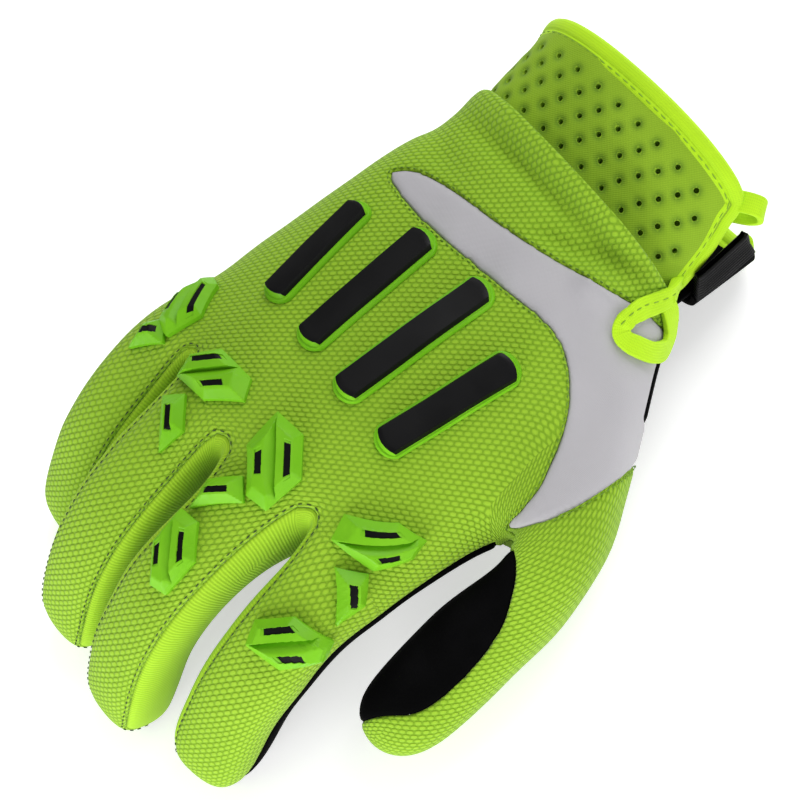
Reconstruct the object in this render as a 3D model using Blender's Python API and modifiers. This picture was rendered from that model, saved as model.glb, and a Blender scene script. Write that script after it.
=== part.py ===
# Motocross glove for the right hand, lying palm down on its finger tips, thumb tip and cuff.
# Fingers point to -Y, the thumb side is +X and the back of the hand faces +Z. The hand frame
# has the finger roots at y = 0 and is turned into the lying pose about X.
import math
from collections import namedtuple

import bmesh
import bpy
from mathutils import Matrix, Vector
from mathutils.bvhtree import BVHTree

# Driving dimensions, in metres and degrees
PALM_LENGTH = 0.104
PALM_WIDTH = 0.098
PALM_THICKNESS = 0.035
PALM_ARCH = 0.0076
ARCH_AT_WRIST = 0.3
FINGER_LENGTH = 0.086
FINGER_WIDTH = 0.0235
FINGER_HEIGHT = 0.0215
THUMB_LENGTH = 0.0914
THUMB_WIDTH = 0.0250
THUMB_HEIGHT = 0.0230
FLATTENED = 0.0012

WALL = 0.0016
GAP = 0.0003
SMOOTHING = 1
ROUNDNESS = 2.6
FINGER_CORNER = 0.92
ROLL_RATE = 4.0
SEAM_TILT = 28.0
SEAM_DEPTH = 0.12

CUFF_LENGTH = 0.028
CUFF_WIDTH = 0.076
CUFF_HEIGHT = 0.0450
CUFF_FLARE = 0.7
CUFF_BOW = 0.0040
CUFF_BOW_LEVEL = 0.6
CUFF_WALL = 0.0022
CUFF_TUCK = 0.0040
CUFF_PLAY = 0.0028
CUFF_TURNS = 30
CUFF_BANDS = 4
SLIT_TOP_AT_EDGE = 34.0
SLIT_TOP_AT_HAND = 10.0
SLIT_BOTTOM = -14.0
HOLE_DIAMETER = 0.0016
HOLE_PITCH = 0.0052
HOLE_SIDES = 4
HOLE_MARGIN = 0.5
HOLE_REACH = 7.0

BINDING_WIDTH = 0.0055
BINDING_THICKNESS = 0.0036
BINDING_START = 0.0030
BINDING_PLAY = 0.0015
BINDING_LEAD = 1.0
BINDING_JOIN = 0.9
SLIT_BANDS = 3
TAPE_EDGE = 0.225
LOOP_TAPE_WIDTH = 0.0055
LOOP_TAPE_THICKNESS = 0.0014
STRAP_WIDTH = 0.0185
STRAP_THICKNESS = 0.0020
STRAP_START = -60.0
STRAP_END = -15.0
STRAP_SEAT = 0.0006
STRAP_MARGIN = 0.001
STRAP_COLUMNS = 6
PULL_TURN = 38.0
TAB_START = 1.0
TAB_TURN = 24.0
TAB_THICKNESS = 0.0022
TAB_TAPER_LOW = 0.08
TAB_TAPER_HIGH = 0.06
TAB_COLUMNS = 4

GUARD_SEAT = 0.0008
GUARD_HEIGHT = 0.0034
GUARD_BOW = 0.017
GUARD_TAPER = 0.56
RIB_HEIGHT = 0.0030
RIB_BOW = 0.070

# Sections of the palm from the wrist edge to the finger roots, as shares of the palm's length,
# width and thickness. Slant is how far a section follows the slanted line of finger roots.
Section = namedtuple("Section", "along width top bottom across slant")
PALM_SECTIONS = (
    Section(1.000, 0.79, 0.64, 0.60, -0.015, 0.00),
    Section(0.905, 0.85, 0.53, 0.58, 0.005, 0.00),
    Section(0.800, 0.97, 0.55, 0.62, 0.036, 0.05),
    Section(0.587, 0.96, 0.53, 0.58, 0.010, 0.20),
    Section(0.356, 1.04, 0.50, 0.50, 0.025, 0.40),
    Section(0.163, 1.01, 0.48, 0.42, 0.005, 0.75),
    Section(0.000, 1.06, 0.42, 0.36, -0.022, 1.00),
)
THUMB_SECTION = 2

# Offset of the finger roots towards the wrist, as shares of the palm's length
Slant = namedtuple("Slant", "across along")
ROOT_SLANT = (Slant(-1.0, 0.145), Slant(-0.5, 0.075), Slant(-0.04, -0.020), Slant(0.5, 0.030),
              Slant(1.0, 0.018))

# Places of the twelve upper and lower points of a palm section, as shares of its half width:
# three for each finger, from the index finger to the little finger
COLUMNS = (0.91, 0.72, 0.53, 0.47, 0.23, -0.01, -0.07, -0.28, -0.49, -0.55, -0.72, -0.89)

# Each finger as shares of the named finger sizes, with angles in degrees: sideways, roll about
# its own length, drop at the root and curl from root to tip
Finger = namedtuple("Finger", "name column length girth splay roll drop curl")
FINGERS = (
    Finger("index", 0, 0.84, 0.99, -4, 16, 18, 40),
    Finger("middle", 3, 0.98, 0.97, -4, 2, 4, 67),
    Finger("ring", 6, 0.935, 0.97, -2, 0, 9, 60),
    Finger("little", 9, 0.775, 0.86, 0, -8, 19, 44),
)
Station = namedtuple("Station", "along width height bend")
FINGER_STATIONS = (
    Station(0.14, 1.00, 1.00, 0.06),
    Station(0.36, 1.02, 1.01, 0.45),
    Station(0.56, 0.97, 0.95, 0.84),
    Station(0.74, 0.96, 0.92, 1.00),
    Station(0.90, 0.85, 0.80, 1.00),
    Station(1.00, 0.00, 0.00, 1.00),
)
# Yaw and drop lead the thumb's centre line to a station, turn is the yaw of the section there
ThumbStation = namedtuple("ThumbStation", "along width height yaw drop turn roll")
THUMB_STATIONS = (
    ThumbStation(0.233, 0.96, 1.22, 49, 11, 55, 8),
    ThumbStation(0.398, 0.98, 1.12, 4, 23, 25, 14),
    ThumbStation(0.581, 0.99, 1.02, -9, 22, 5, 22),
    ThumbStation(0.771, 0.98, 0.94, -4, 26, -2, 26),
    ThumbStation(0.930, 0.84, 0.78, -5, 20, -5, 26),
    ThumbStation(1.020, 0.00, 0.00, -5, 18, -5, 26),
)

# Creases and swellings of the cloth: place and length as shares of the palm's width and length,
# the crease's direction in degrees from +X, its breadth and depth in metres
Fold = namedtuple("Fold", "across along turn length breadth depth")
FOLDS = (
    Fold(-0.02, 0.915, 3, 0.62, 0.0040, -0.0016),
    Fold(-0.05, 0.985, 2, 0.70, 0.0040, 0.0008),
    Fold(0.28, 0.800, -25, 0.30, 0.0050, -0.0012),
    Fold(0.44, 0.560, -70, 0.34, 0.0060, 0.0010),
)

# Seam lines drawn in the seam plane, which is the hand frame tilted about Y towards the thumb.
# Across is a share of the palm's width, along a share of its length.
Point = namedtuple("Point", "across along")
WHITE_OUTLINE = (
    Point(-0.345, 0.690), Point(-0.330, 0.735), Point(-0.255, 0.765), Point(-0.090, 0.795),
    Point(0.065, 0.840), Point(0.195, 0.885), Point(0.300, 0.925), Point(0.450, 0.950),
    Point(0.900, 0.950), Point(0.900, 0.700), Point(0.585, 0.800), Point(0.560, 0.640),
    Point(0.535, 0.480), Point(0.482, 0.362), Point(0.450, 0.480), Point(0.375, 0.610),
    Point(0.290, 0.685), Point(0.185, 0.722), Point(0.020, 0.700), Point(-0.190, 0.675),
)
THUMB_INNER_OUTLINE = (
    Point(0.522, 0.335), Point(0.550, 0.328), Point(0.605, 0.285), Point(0.670, 0.200),
    Point(0.705, 0.075), Point(0.705, -0.035), Point(0.650, -0.120), Point(0.600, -0.260),
    Point(0.560, -0.260), Point(0.545, -0.100), Point(0.526, 0.120), Point(0.522, 0.300),
)
THUMB_OUTER_OUTLINE = (
    Point(0.482, 0.360), Point(0.540, 0.480), Point(0.565, 0.640), Point(0.590, 0.810),
    Point(0.900, 0.700), Point(1.000, 0.200), Point(0.800, -0.300), Point(0.600, -0.260),
    Point(0.560, 0.000), Point(0.522, 0.335),
)

# Panels cut out of the upper shell in turn: low is the height in the seam plane where a cut starts
Seam = namedtuple("Seam", "panel look low outline")
SEAMS = (
    Seam("white_panel", "white", -0.015, WHITE_OUTLINE),
    Seam("thumb_inner", "black", -SEAM_DEPTH, THUMB_INNER_OUTLINE),
    Seam("thumb_outer", "lime", -SEAM_DEPTH, THUMB_OUTER_OUTLINE),
)

# Moulded guards: the finger they sit on, place along it from its root (negative on the palm) and
# across it, turn about the surface normal in degrees, size in metres
Guard = namedtuple("Guard", "name finger along across turn length width kind")
GUARDS = (
    Guard("guard_index_knuckle", "index", -0.0130, 0.0041, -52, 0.0212, 0.0123, "pair"),
    Guard("guard_index_middle", "index", 0.0010, 0.0080, 43, 0.0125, 0.0062, "single"),
    Guard("guard_index_joint", "index", 0.0177, 0.0035, -52, 0.0208, 0.0120, "pair"),
    Guard("guard_middle_knuckle", "middle", -0.0059, 0.0000, 43, 0.0208, 0.0123, "pair"),
    Guard("guard_middle_middle", "middle", 0.0083, -0.0047, -52, 0.0125, 0.0060, "single"),
    Guard("guard_middle_joint", "middle", 0.0224, -0.0014, 43, 0.0205, 0.0120, "pair"),
    Guard("guard_ring_knuckle", "ring", -0.0075, -0.0019, -52, 0.0178, 0.0122, "pair"),
    Guard("guard_ring_middle", "ring", 0.0066, 0.0005, 43, 0.0125, 0.0060, "single"),
    Guard("guard_little_knuckle", "little", -0.0085, 0.0001, 60, 0.0170, 0.0110, "pair"),
    Guard("guard_little_middle", "little", 0.0030, -0.0020, -45, 0.0105, 0.0058, "single"),
)
Rib = namedtuple("Rib", "name across along turn length width")
RIBS = (
    Rib("rib_index", 0.270, 0.430, 8, 0.040, 0.0095),
    Rib("rib_middle", 0.090, 0.470, 3, 0.046, 0.0095),
    Rib("rib_ring", -0.095, 0.470, -2, 0.042, 0.0095),
    Rib("rib_little", -0.270, 0.450, -8, 0.034, 0.0085),
)

# Relief of the moulded pieces on a grid: shares of half their length and width, and the share of
# the full height at each row and column
Relief = namedtuple("Relief", "share height")
PAIR_COLUMNS = (Relief(-1.0, 0.40), Relief(-0.60, 1.00), Relief(0.0, 1.00), Relief(0.60, 1.00),
                Relief(1.0, 0.40))
PAIR_ROWS = (Relief(-1.0, 0.40), Relief(-0.72, 1.00), Relief(-0.24, 0.92), Relief(0.0, 0.55),
             Relief(0.24, 0.92), Relief(0.72, 1.00), Relief(1.0, 0.40))
SINGLE_COLUMNS = (Relief(-1.0, 0.40), Relief(-0.60, 1.00), Relief(0.60, 1.00), Relief(1.0, 0.40))
SINGLE_ROWS = (Relief(-1.0, 0.40), Relief(-0.50, 1.00), Relief(0.60, 0.80), Relief(1.0, 0.40))
RIB_COLUMNS = (Relief(-1.0, 0.30), Relief(-0.72, 1.00), Relief(-0.25, 1.00), Relief(0.25, 1.00),
               Relief(0.72, 1.00), Relief(1.0, 0.30))
RIB_ROWS = (Relief(-1.0, 0.30), Relief(-0.45, 1.00), Relief(0.45, 1.00), Relief(1.0, 0.30))

# Corner of the binding where it turns down the slit: degrees short of the slit's line, and share of
# the cuff's length short of the rim
Corner = namedtuple("Corner", "turn along")
BINDING_CORNER = (Corner(1.5, 0.03), Corner(0.0, 0.12))

# Centre lines of the tapes in the hand frame, as shares of the palm's width, length and thickness
Turn = namedtuple("Turn", "across along height")
PULL_LOOP = (
    Point(0.307, 0.985), Point(0.292, 0.940), Point(0.276, 0.900), Point(0.268, 0.870), Point(0.280, 0.843),
    Point(0.316, 0.836), Point(0.362, 0.850), Point(0.405, 0.872), Point(0.428, 0.903), Point(0.414, 0.932),
    Point(0.382, 0.949),
)
PALM_LOOP = (
    Turn(0.329, 1.270, 0.290), Turn(0.353, 1.288, 0.295), Turn(0.373, 1.304, 0.265),
    Turn(0.373, 1.302, 0.205), Turn(0.353, 1.284, 0.175), Turn(0.329, 1.266, 0.175),
)

PANELS = ("back", "palm", "thumb", "gusset_index_middle", "gusset_middle_ring", "gusset_ring_little",
          "cuff_back", "cuff_palm")
UPPER_SHELL = ("back", "thumb")

LIME = (0.26, 0.56, 0.03)
GUARD_LIME = (0.20, 0.62, 0.03)
OLIVE = (0.18, 0.36, 0.03)
NEON = (0.45, 0.86, 0.02)
WHITE = (0.62, 0.60, 0.62)
BLACK = (0.012, 0.012, 0.014)


def clear_scene():
    for leftover in list(bpy.data.objects):
        bpy.data.objects.remove(leftover, do_unlink=True)


def material(name, colour, roughness):
    made = bpy.data.materials.new(name)
    made.use_nodes = True
    shader = made.node_tree.nodes["Principled BSDF"]
    shader.inputs["Base Color"].default_value = (*colour, 1.0)
    shader.inputs["Roughness"].default_value = roughness
    shader.inputs["Metallic"].default_value = 0.0
    return made


def add_object(name, mesh, collection, look=None):
    made = bpy.data.objects.new(name, mesh)
    if look:
        mesh.materials.clear()
        mesh.materials.append(look)
    collection.objects.link(made)
    return made


def mesh_from(name, solid):
    bmesh.ops.recalc_face_normals(solid, faces=solid.faces)
    mesh = bpy.data.meshes.new(name)
    solid.to_mesh(mesh)
    solid.free()
    mesh.polygons.foreach_set("material_index", [0] * len(mesh.polygons))
    mesh.shade_smooth()
    return mesh


def evaluated(guide):
    graph = bpy.context.evaluated_depsgraph_get()
    return bpy.data.meshes.new_from_object(guide.evaluated_get(graph))


def interpolate(table, across):
    for low, high in zip(table, table[1:]):
        if across <= high.across:
            share = (across - low.across) / (high.across - low.across)
            return low.along + (high.along - low.along) * max(0.0, share)
    return table[-1].along


def dome(share):
    return max(0.0, 1.0 - abs(share) ** ROUNDNESS) ** (1.0 / ROUNDNESS)


class Cage:
    """Points and labelled quads of the coarse surface that is smoothed into the glove."""

    def __init__(self):
        self.points = []
        self.faces = []
        self.panels = []
        self.roots = {}

    def add(self, points):
        start = len(self.points)
        self.points += points
        return list(range(start, len(self.points)))

    def quad(self, corners, panel):
        self.faces.append(tuple(corners))
        self.panels.append(PANELS.index(panel))

    def bridge(self, ring, after, panels):
        count = len(ring)
        for k, panel in enumerate(panels):
            if panel:
                self.quad((ring[k], ring[(k + 1) % count], after[(k + 1) % count], after[k]), panel)

    def grow(self, ring, stations, panels, cap_panels):
        for centre, side, up, width, height in stations[:-1]:
            after = self.add(finger_section(centre, side, up, width, height))
            self.bridge(ring, after, panels)
            ring = after
        tip = self.add([stations[-1][0]])[0]
        for k, panel in zip(range(0, len(ring), 2), cap_panels):
            self.quad((ring[k], ring[k + 1], ring[(k + 2) % len(ring)], tip), panel)

    def middle(self, ring):
        return sum((self.points[k] for k in ring), Vector()) / len(ring)


def palm_section(section):
    half = PALM_WIDTH * section.width / 2
    arch = PALM_ARCH * min(1.0, ARCH_AT_WRIST + section.slant)

    def point(across, height):
        along = section.along + section.slant * interpolate(ROOT_SLANT, across)
        return Vector((section.across * PALM_WIDTH + half * across, along * PALM_LENGTH,
                       height * PALM_THICKNESS - arch * across ** 2))

    upper = [point(x, section.top * dome(x)) for x in COLUMNS]
    lower = [point(x, -section.bottom * dome(x)) for x in reversed(COLUMNS)]
    return [point(1.0, 0.0)] + upper + [point(-1.0, 0.0)] + lower


def finger_section(centre, side, up, width, height):
    corner = FINGER_CORNER
    shares = ((1, 0), (corner, corner), (0, 1), (-corner, corner),
              (-1, 0), (-corner, -corner), (0, -1), (corner, -corner))
    return [centre + side * (a * width / 2) + up * (b * height / 2) for a, b in shares]


def heading(yaw, drop):
    """Unit vector forward, and the upward vector square to it, for a limb that drops by an angle."""
    a, b = math.radians(yaw), math.radians(drop)
    forward = Vector((math.sin(a), -math.cos(a), 0.0))
    up = Vector((0.0, 0.0, 1.0))
    return forward * math.cos(b) - up * math.sin(b), up * math.cos(b) + forward * math.sin(b)


def rolled(direction, up, roll):
    turn = Matrix.Rotation(math.radians(-roll), 3, direction)
    return turn @ up.cross(direction), turn @ up


def finger_path(root, finger):
    stations = []
    centre, before, drop_before = root, 0.0, finger.drop
    for row in FINGER_STATIONS:
        drop = finger.drop + finger.curl * row.bend
        step = (row.along - before) * finger.length * FINGER_LENGTH
        centre = centre + heading(finger.splay, (drop + drop_before) / 2)[0] * step
        side, up = rolled(*heading(finger.splay, drop), finger.roll * min(1.0, row.along * ROLL_RATE))
        stations.append((centre, side, up, finger.girth * row.width * FINGER_WIDTH,
                         finger.girth * row.height * FINGER_HEIGHT))
        before, drop_before = row.along, drop
    return stations


def thumb_path(root):
    stations = []
    centre, before = root, 0.0
    for row in THUMB_STATIONS:
        centre = centre + heading(row.yaw, row.drop)[0] * ((row.along - before) * THUMB_LENGTH)
        side, up = rolled(*heading(row.turn, row.drop), row.roll)
        stations.append((centre, side, up, row.width * THUMB_WIDTH, row.height * THUMB_HEIGHT))
        before = row.along
    return stations


def hand_cage():
    """Palm sections, four fingers with webs between them, and the thumb, as one surface."""
    cage = Cage()
    rings = [cage.add(palm_section(section)) for section in PALM_SECTIONS]
    points_round = len(rings[0])
    columns = len(COLUMNS)
    round_panels = ["back"] * (columns + 2) + ["palm"] * columns
    for k, (ring, after) in enumerate(zip(rings, rings[1:])):
        panels = list(round_panels)
        if k in (THUMB_SECTION, THUMB_SECTION + 1):
            panels[0] = panels[-1] = None
        cage.bridge(ring, after, panels)

    roots = rings[-1]
    outer_side = [roots[0]]
    inner_side = []
    gussets = [panel for panel in PANELS if panel.startswith("gusset")]
    for gusset, finger in zip(gussets, FINGERS):
        upper = (roots[finger.column + 3], roots[finger.column + 4])
        lower = (roots[-finger.column - 3], roots[-finger.column - 4])
        web = cage.add([(cage.points[a] + cage.points[b]) / 2 for a, b in zip(upper, lower)])
        cage.quad((upper[0], upper[1], web[1], web[0]), gusset)
        cage.quad((web[0], web[1], lower[1], lower[0]), gusset)
        inner_side.append(web[0])
        outer_side.append(web[1])
    inner_side.append(roots[columns + 1])

    outer_panels = ["back"] + gussets
    inner_panels = gussets + ["back"]
    for k, finger in enumerate(FINGERS):
        upper = [roots[finger.column + n] for n in (1, 2, 3)]
        lower = [roots[-finger.column - n] for n in (3, 2, 1)]
        ring = [outer_side[k]] + upper + [inner_side[k]] + lower
        outer, inner = outer_panels[k], inner_panels[k]
        under = "palm" if finger.name == "index" else outer
        panels = (outer, "back", "back", inner, inner, "palm", "palm", under)
        cage.roots[finger.name] = cage.middle(ring)
        cage.grow(ring, finger_path(cage.middle(ring), finger), panels, ("back", "back", "palm", "palm"))

    wrist, middle, web = rings[THUMB_SECTION:THUMB_SECTION + 3]
    last = points_round - 1
    ring = [wrist[0], wrist[1], middle[1], web[1], web[0], web[last], middle[last], wrist[last]]
    cage.grow(ring, thumb_path(cage.middle(ring)), ["thumb"] * 8, ["thumb"] * 4)
    return cage


def lowest(points, turn, front):
    """Lowest point after a turn about X, on the finger side of the roots or on the wrist side."""
    turned = [Matrix.Rotation(turn, 3, "X") @ p for p in points if (p.y < 0) == front]
    return min(turned, key=lambda p: p.z)


def resting_turn(points, settling_steps=8):
    """Turn about X that brings the lowest finger point and the lowest wrist point level."""
    turn = 0.0
    for _ in range(settling_steps):
        tip, wrist = lowest(points, turn, True), lowest(points, turn, False)
        turn -= math.atan2(wrist.z - tip.z, wrist.y - tip.y)
    return turn


def fold_height(x, y):
    """How far the folds lift the cloth at a place of the hand frame."""
    height = 0.0
    for fold in FOLDS:
        turn = math.radians(fold.turn)
        dx, dy = x - fold.across * PALM_WIDTH, y - fold.along * PALM_LENGTH
        along = (dx * math.cos(turn) + dy * math.sin(turn)) / (fold.length * PALM_WIDTH / 2)
        across = (dy * math.cos(turn) - dx * math.sin(turn)) / fold.breadth
        height += fold.depth * math.exp(-along ** 4 - across ** 2)
    return height


def smooth_surface(cage, guides):
    """The cage with a Subdivision Surface, as a bmesh in the hand frame."""
    mesh = bpy.data.meshes.new("hand_cage")
    mesh.from_pydata(cage.points, [], cage.faces)
    mesh.polygons.foreach_set("material_index", cage.panels)
    guide = add_object("hand_cage", mesh, guides)
    guide.hide_render = True
    guide.display_type = "WIRE"
    smooth = guide.modifiers.new("Smooth", "SUBSURF")
    smooth.levels = SMOOTHING
    smooth.render_levels = SMOOTHING
    surface = bmesh.new()
    surface.from_mesh(evaluated(guide))
    bmesh.ops.recalc_face_normals(surface, faces=surface.faces)
    surface.normal_update()
    moves = [(v, v.normal * fold_height(v.co.x, v.co.y)) for v in surface.verts if v.normal.z > 0]
    for vert, move in moves:
        vert.co += move
    return surface


def seam_pull(vert, panel_faces):
    """Direction in which a panel's edge point moves back from its seam, scaled for a corner."""
    pulls = []
    for face in vert.link_faces:
        if face not in panel_faces:
            continue
        for loop in face.loops:
            edge = loop.edge
            if vert in edge.verts and sum(f in panel_faces for f in edge.link_faces) == 1:
                run = loop.link_loop_next.vert.co - loop.vert.co
                pulls.append(vert.normal.cross(run).normalized())
    if len(pulls) < 2:
        return sum(pulls, Vector())
    return sum(pulls, Vector()) / (1 + max(0.0, pulls[0].dot(pulls[1])))


def panel_solid(surface, panels, wall):
    """Closed wall under some panels of a surface, drawn back from the seams by half a gap and
    flattened on the floor."""
    wanted = [PANELS.index(panel) for panel in panels]
    faces = {face for face in surface.faces if face.material_index in wanted}
    solid = bmesh.new()
    outer, inner = {}, {}
    for vert in sorted({v for face in faces for v in face.verts}, key=lambda v: v.index):
        place = vert.co + seam_pull(vert, faces) * (GAP / 2)
        under = place - vert.normal * wall
        outer[vert] = solid.verts.new((place.x, place.y, max(place.z, 0.0)))
        inner[vert] = solid.verts.new((under.x, under.y, max(under.z, wall)))
    for face in sorted(faces, key=lambda f: f.index):
        solid.faces.new([outer[v] for v in face.verts])
        solid.faces.new([inner[v] for v in reversed(face.verts)])
        for loop in face.loops:
            a, b = loop.vert, loop.link_loop_next.vert
            if sum(f in faces for f in loop.edge.link_faces) == 1:
                solid.faces.new((outer[b], outer[a], inner[a], inner[b]))
    return solid


def grown(outline, amount):
    """The outline moved outwards by an amount, as 2D vectors in metres."""
    points = [Vector((p.across * PALM_WIDTH, p.along * PALM_LENGTH)) for p in outline]
    count = len(points)
    area = sum(points[k - 1].cross(points[k]) for k in range(count))
    facing = math.copysign(1.0, area)
    moved = []
    for k, point in enumerate(points):
        before = (point - points[k - 1]).normalized()
        after = (points[(k + 1) % count] - point).normalized()
        normals = [Vector((run.y, -run.x)) * facing for run in (before, after)]
        corner = (normals[0] + normals[1]) / (1 + normals[0].dot(normals[1]))
        moved.append(point + corner * amount)
    return moved


def seam_cutter(name, outline, low, amount, pose, guides):
    """Flat outline in the seam plane, extruded from a height up through the whole glove."""
    curve = bpy.data.curves.new(name, "CURVE")
    curve.dimensions = "2D"
    curve.fill_mode = "BOTH"
    curve.extrude = SEAM_DEPTH
    spline = curve.splines.new("POLY")
    points = grown(outline, amount)
    spline.points.add(len(points) - 1)
    for target, point in zip(spline.points, points):
        target.co = (point.x, point.y, 0.0, 1.0)
    spline.use_cyclic_u = True
    drawn = add_object(name + "_outline", curve, guides)
    solid = bmesh.new()
    solid.from_mesh(evaluated(drawn))
    bpy.data.objects.remove(drawn, do_unlink=True)
    bmesh.ops.remove_doubles(solid, verts=solid.verts, dist=GAP / 100)
    cutter = add_object(name, mesh_from(name, solid), guides)
    raised = Matrix.Translation((0.0, 0.0, low + SEAM_DEPTH))
    cutter.matrix_world = pose @ Matrix.Rotation(math.radians(SEAM_TILT), 4, "Y") @ raised
    cutter.hide_render = True
    cutter.display_type = "WIRE"
    return cutter


def boolean(name, mesh, operation, cutter, collection, look):
    """Copy of a mesh cut by a cutter, kept as a modifier on the new object."""
    piece = add_object(name, mesh.copy(), collection, look)
    cut = piece.modifiers.new("Seam", "BOOLEAN")
    cut.operation = operation
    cut.solver = "EXACT"
    cut.object = cutter
    return piece


def apply_modifiers(piece):
    mesh = evaluated(piece)
    piece.modifiers.clear()
    piece.data = mesh


def cut_upper_shell(surface, pose, parts, guides, looks):
    """White panel, black thumb panel, thumb and back, cut from one shell along their seams."""
    rest = mesh_from("upper_shell", panel_solid(surface, UPPER_SHELL, WALL))
    for seam in SEAMS:
        inside = seam_cutter(seam.panel + "_cutter", seam.outline, seam.low, 0.0, pose, guides)
        outside = seam_cutter(seam.panel + "_clearance", seam.outline, seam.low - GAP, GAP, pose, guides)
        bpy.context.view_layer.update()
        piece = boolean(seam.panel, rest, "INTERSECT", inside, parts, looks[seam.look])
        remainder = boolean("remainder", rest, "DIFFERENCE", outside, parts, looks["lime"])
        bpy.context.view_layer.update()
        apply_modifiers(piece)
        rest = evaluated(remainder)
        bpy.data.objects.remove(remainder, do_unlink=True)
    add_object("back_panel", rest, parts, looks["lime"])


def cuff_point(turn, along):
    """Place on the cuff's outer face: turn in degrees from the thumb side, along from tucked end."""
    mouth = PALM_SECTIONS[0]
    narrow = min(section.width for section in PALM_SECTIONS[:2])
    inset = WALL + CUFF_PLAY
    half = [narrow * PALM_WIDTH / 2 - inset, CUFF_WIDTH / 2]
    top = [min(s.top for s in PALM_SECTIONS[:2]) * PALM_THICKNESS - inset, CUFF_HEIGHT / 2]
    bottom = [min(s.bottom for s in PALM_SECTIONS[:2]) * PALM_THICKNESS - inset, CUFF_HEIGHT / 2]
    flare = along ** CUFF_FLARE
    blend = [low + (high - low) * flare for low, high in (half, top, bottom)]
    a = math.radians(turn)
    reach = 1.0 / (abs(math.cos(a)) ** ROUNDNESS + abs(math.sin(a)) ** ROUNDNESS) ** (1.0 / ROUNDNESS)
    rise = blend[1] if math.sin(a) > 0 else blend[2]
    start = PALM_LENGTH - CUFF_TUCK
    bow = CUFF_BOW * (max(0.0, math.sin(a)) - CUFF_BOW_LEVEL)
    end = PALM_LENGTH + CUFF_LENGTH - BINDING_WIDTH - GAP + bow
    return Vector((mouth.across * PALM_WIDTH + blend[0] * reach * math.cos(a),
                   start + (end - start) * along, rise * reach * math.sin(a)))


def slit_top(along):
    return SLIT_TOP_AT_HAND + (SLIT_TOP_AT_EDGE - SLIT_TOP_AT_HAND) * along


def cuff_turns(along):
    """Angles of the cuff's columns from the slit's upper edge round to its lower edge."""
    start = slit_top(along)
    back = [start + (180 - start) * k / (CUFF_TURNS // 2) for k in range(CUFF_TURNS // 2)]
    palm = [180 + (180 + SLIT_BOTTOM) * k / (CUFF_TURNS // 2) for k in range(CUFF_TURNS // 2 + 1)]
    return back + palm


def cuff_normal(turn, along, turn_step=0.5, along_step=0.01):
    """Outward normal of the cuff's outer face."""
    round_run = cuff_point(turn + turn_step, along) - cuff_point(turn - turn_step, along)
    length_run = cuff_point(turn, along + along_step) - cuff_point(turn, along)
    return length_run.cross(round_run).normalized() * -1.0


def cuff_length():
    return cuff_point(0.0, 1.0).y - cuff_point(0.0, 0.0).y


def arc_turns(along, start, end, step):
    """Turns at equal steps of arc round the cuff, from one turn down to another."""
    turns, covered = [], 0.0
    for turn in range(int(start), int(end), -1):
        if covered >= len(turns) * step:
            turns.append(turn)
        covered += (cuff_point(turn - 1, along) - cuff_point(turn, along)).length
    return turns


def cuff_grid(rows, lift, panel_of_column):
    """Surface over rows of (turn, along) pairs of the cuff, lifted off its outer face."""
    surface = bmesh.new()
    made = [[surface.verts.new(cuff_point(*pair) + cuff_normal(*pair) * lift) for pair in row]
            for row in rows]
    for row, after in zip(made, made[1:]):
        for k in range(len(row) - 1):
            face = surface.faces.new((row[k], after[k], after[k + 1], row[k + 1]))
            face.material_index = PANELS.index(panel_of_column(k))
    surface.verts.index_update()
    surface.faces.index_update()
    surface.normal_update()
    return surface


def cuff_surface():
    alongs = [band / CUFF_BANDS for band in range(CUFF_BANDS + 1)]
    rows = [[(turn, along) for turn in cuff_turns(along)] for along in alongs]
    return cuff_grid(rows, 0.0, lambda k: "cuff_back" if k < CUFF_TURNS // 2 else "cuff_palm")


def posed_solid(name, surface, panel, wall, pose):
    surface.transform(pose)
    surface.normal_update()
    return mesh_from(name, panel_solid(surface, (panel,), wall))


def hole_cutters(pose, guides):
    """Pins square to the cuff's back in a diagonal grid, as one cutter."""
    solid = bmesh.new()
    step = HOLE_PITCH / math.sqrt(2)
    length = cuff_length()
    first = (CUFF_TUCK + step * HOLE_MARGIN) / length
    for row in range(int((length * (1 - first) - HOLE_DIAMETER) / step) + 1):
        along = first + row * step / length
        turns = arc_turns(along, 180 - HOLE_REACH, slit_top(along) + HOLE_REACH, step)
        for turn in turns[row % 2::2]:
            out = cuff_normal(turn, along)
            middle = cuff_point(turn, along) - out * (CUFF_WALL / 2)
            place = Matrix.Translation(middle) @ out.to_track_quat("Z", "Y").to_matrix().to_4x4()
            bmesh.ops.create_cone(solid, cap_ends=True, segments=HOLE_SIDES, radius1=HOLE_DIAMETER / 2,
                                  radius2=HOLE_DIAMETER / 2, depth=CUFF_WALL * 2, matrix=pose @ place)
    cutter = add_object("perforations", mesh_from("perforations", solid), guides)
    cutter.hide_render = True
    cutter.display_type = "WIRE"
    return cutter


def tape(name, centres, normals, width, thickness, pose):
    """Flat tape with rounded edges along a line, lying square to the given normals."""
    solid = bmesh.new()
    rings = []
    half, rise = width / 2, thickness / 2
    flat = half * (1 - TAPE_EDGE)
    outline = ((half, 0.0), (flat, rise), (-flat, rise), (-half, 0.0), (-flat, -rise), (flat, -rise))
    for k, (centre, normal) in enumerate(zip(centres, normals)):
        run = centres[min(k + 1, len(centres) - 1)] - centres[max(k - 1, 0)]
        side = run.cross(normal).normalized()
        up = side.cross(run).normalized()
        ring = [pose @ (centre + side * a + up * b) for a, b in outline]
        rings.append([solid.verts.new((p.x, p.y, max(p.z, 0.0))) for p in ring])
    count = len(outline)
    for ring, after in zip(rings, rings[1:]):
        for k in range(count):
            solid.faces.new((ring[k], ring[(k + 1) % count], after[(k + 1) % count], after[k]))
    solid.faces.new(rings[0])
    solid.faces.new(list(reversed(rings[-1])))
    return mesh_from(name, solid)


def binding_along():
    return 1 + (GAP + BINDING_WIDTH / 2) / cuff_length()


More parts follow.
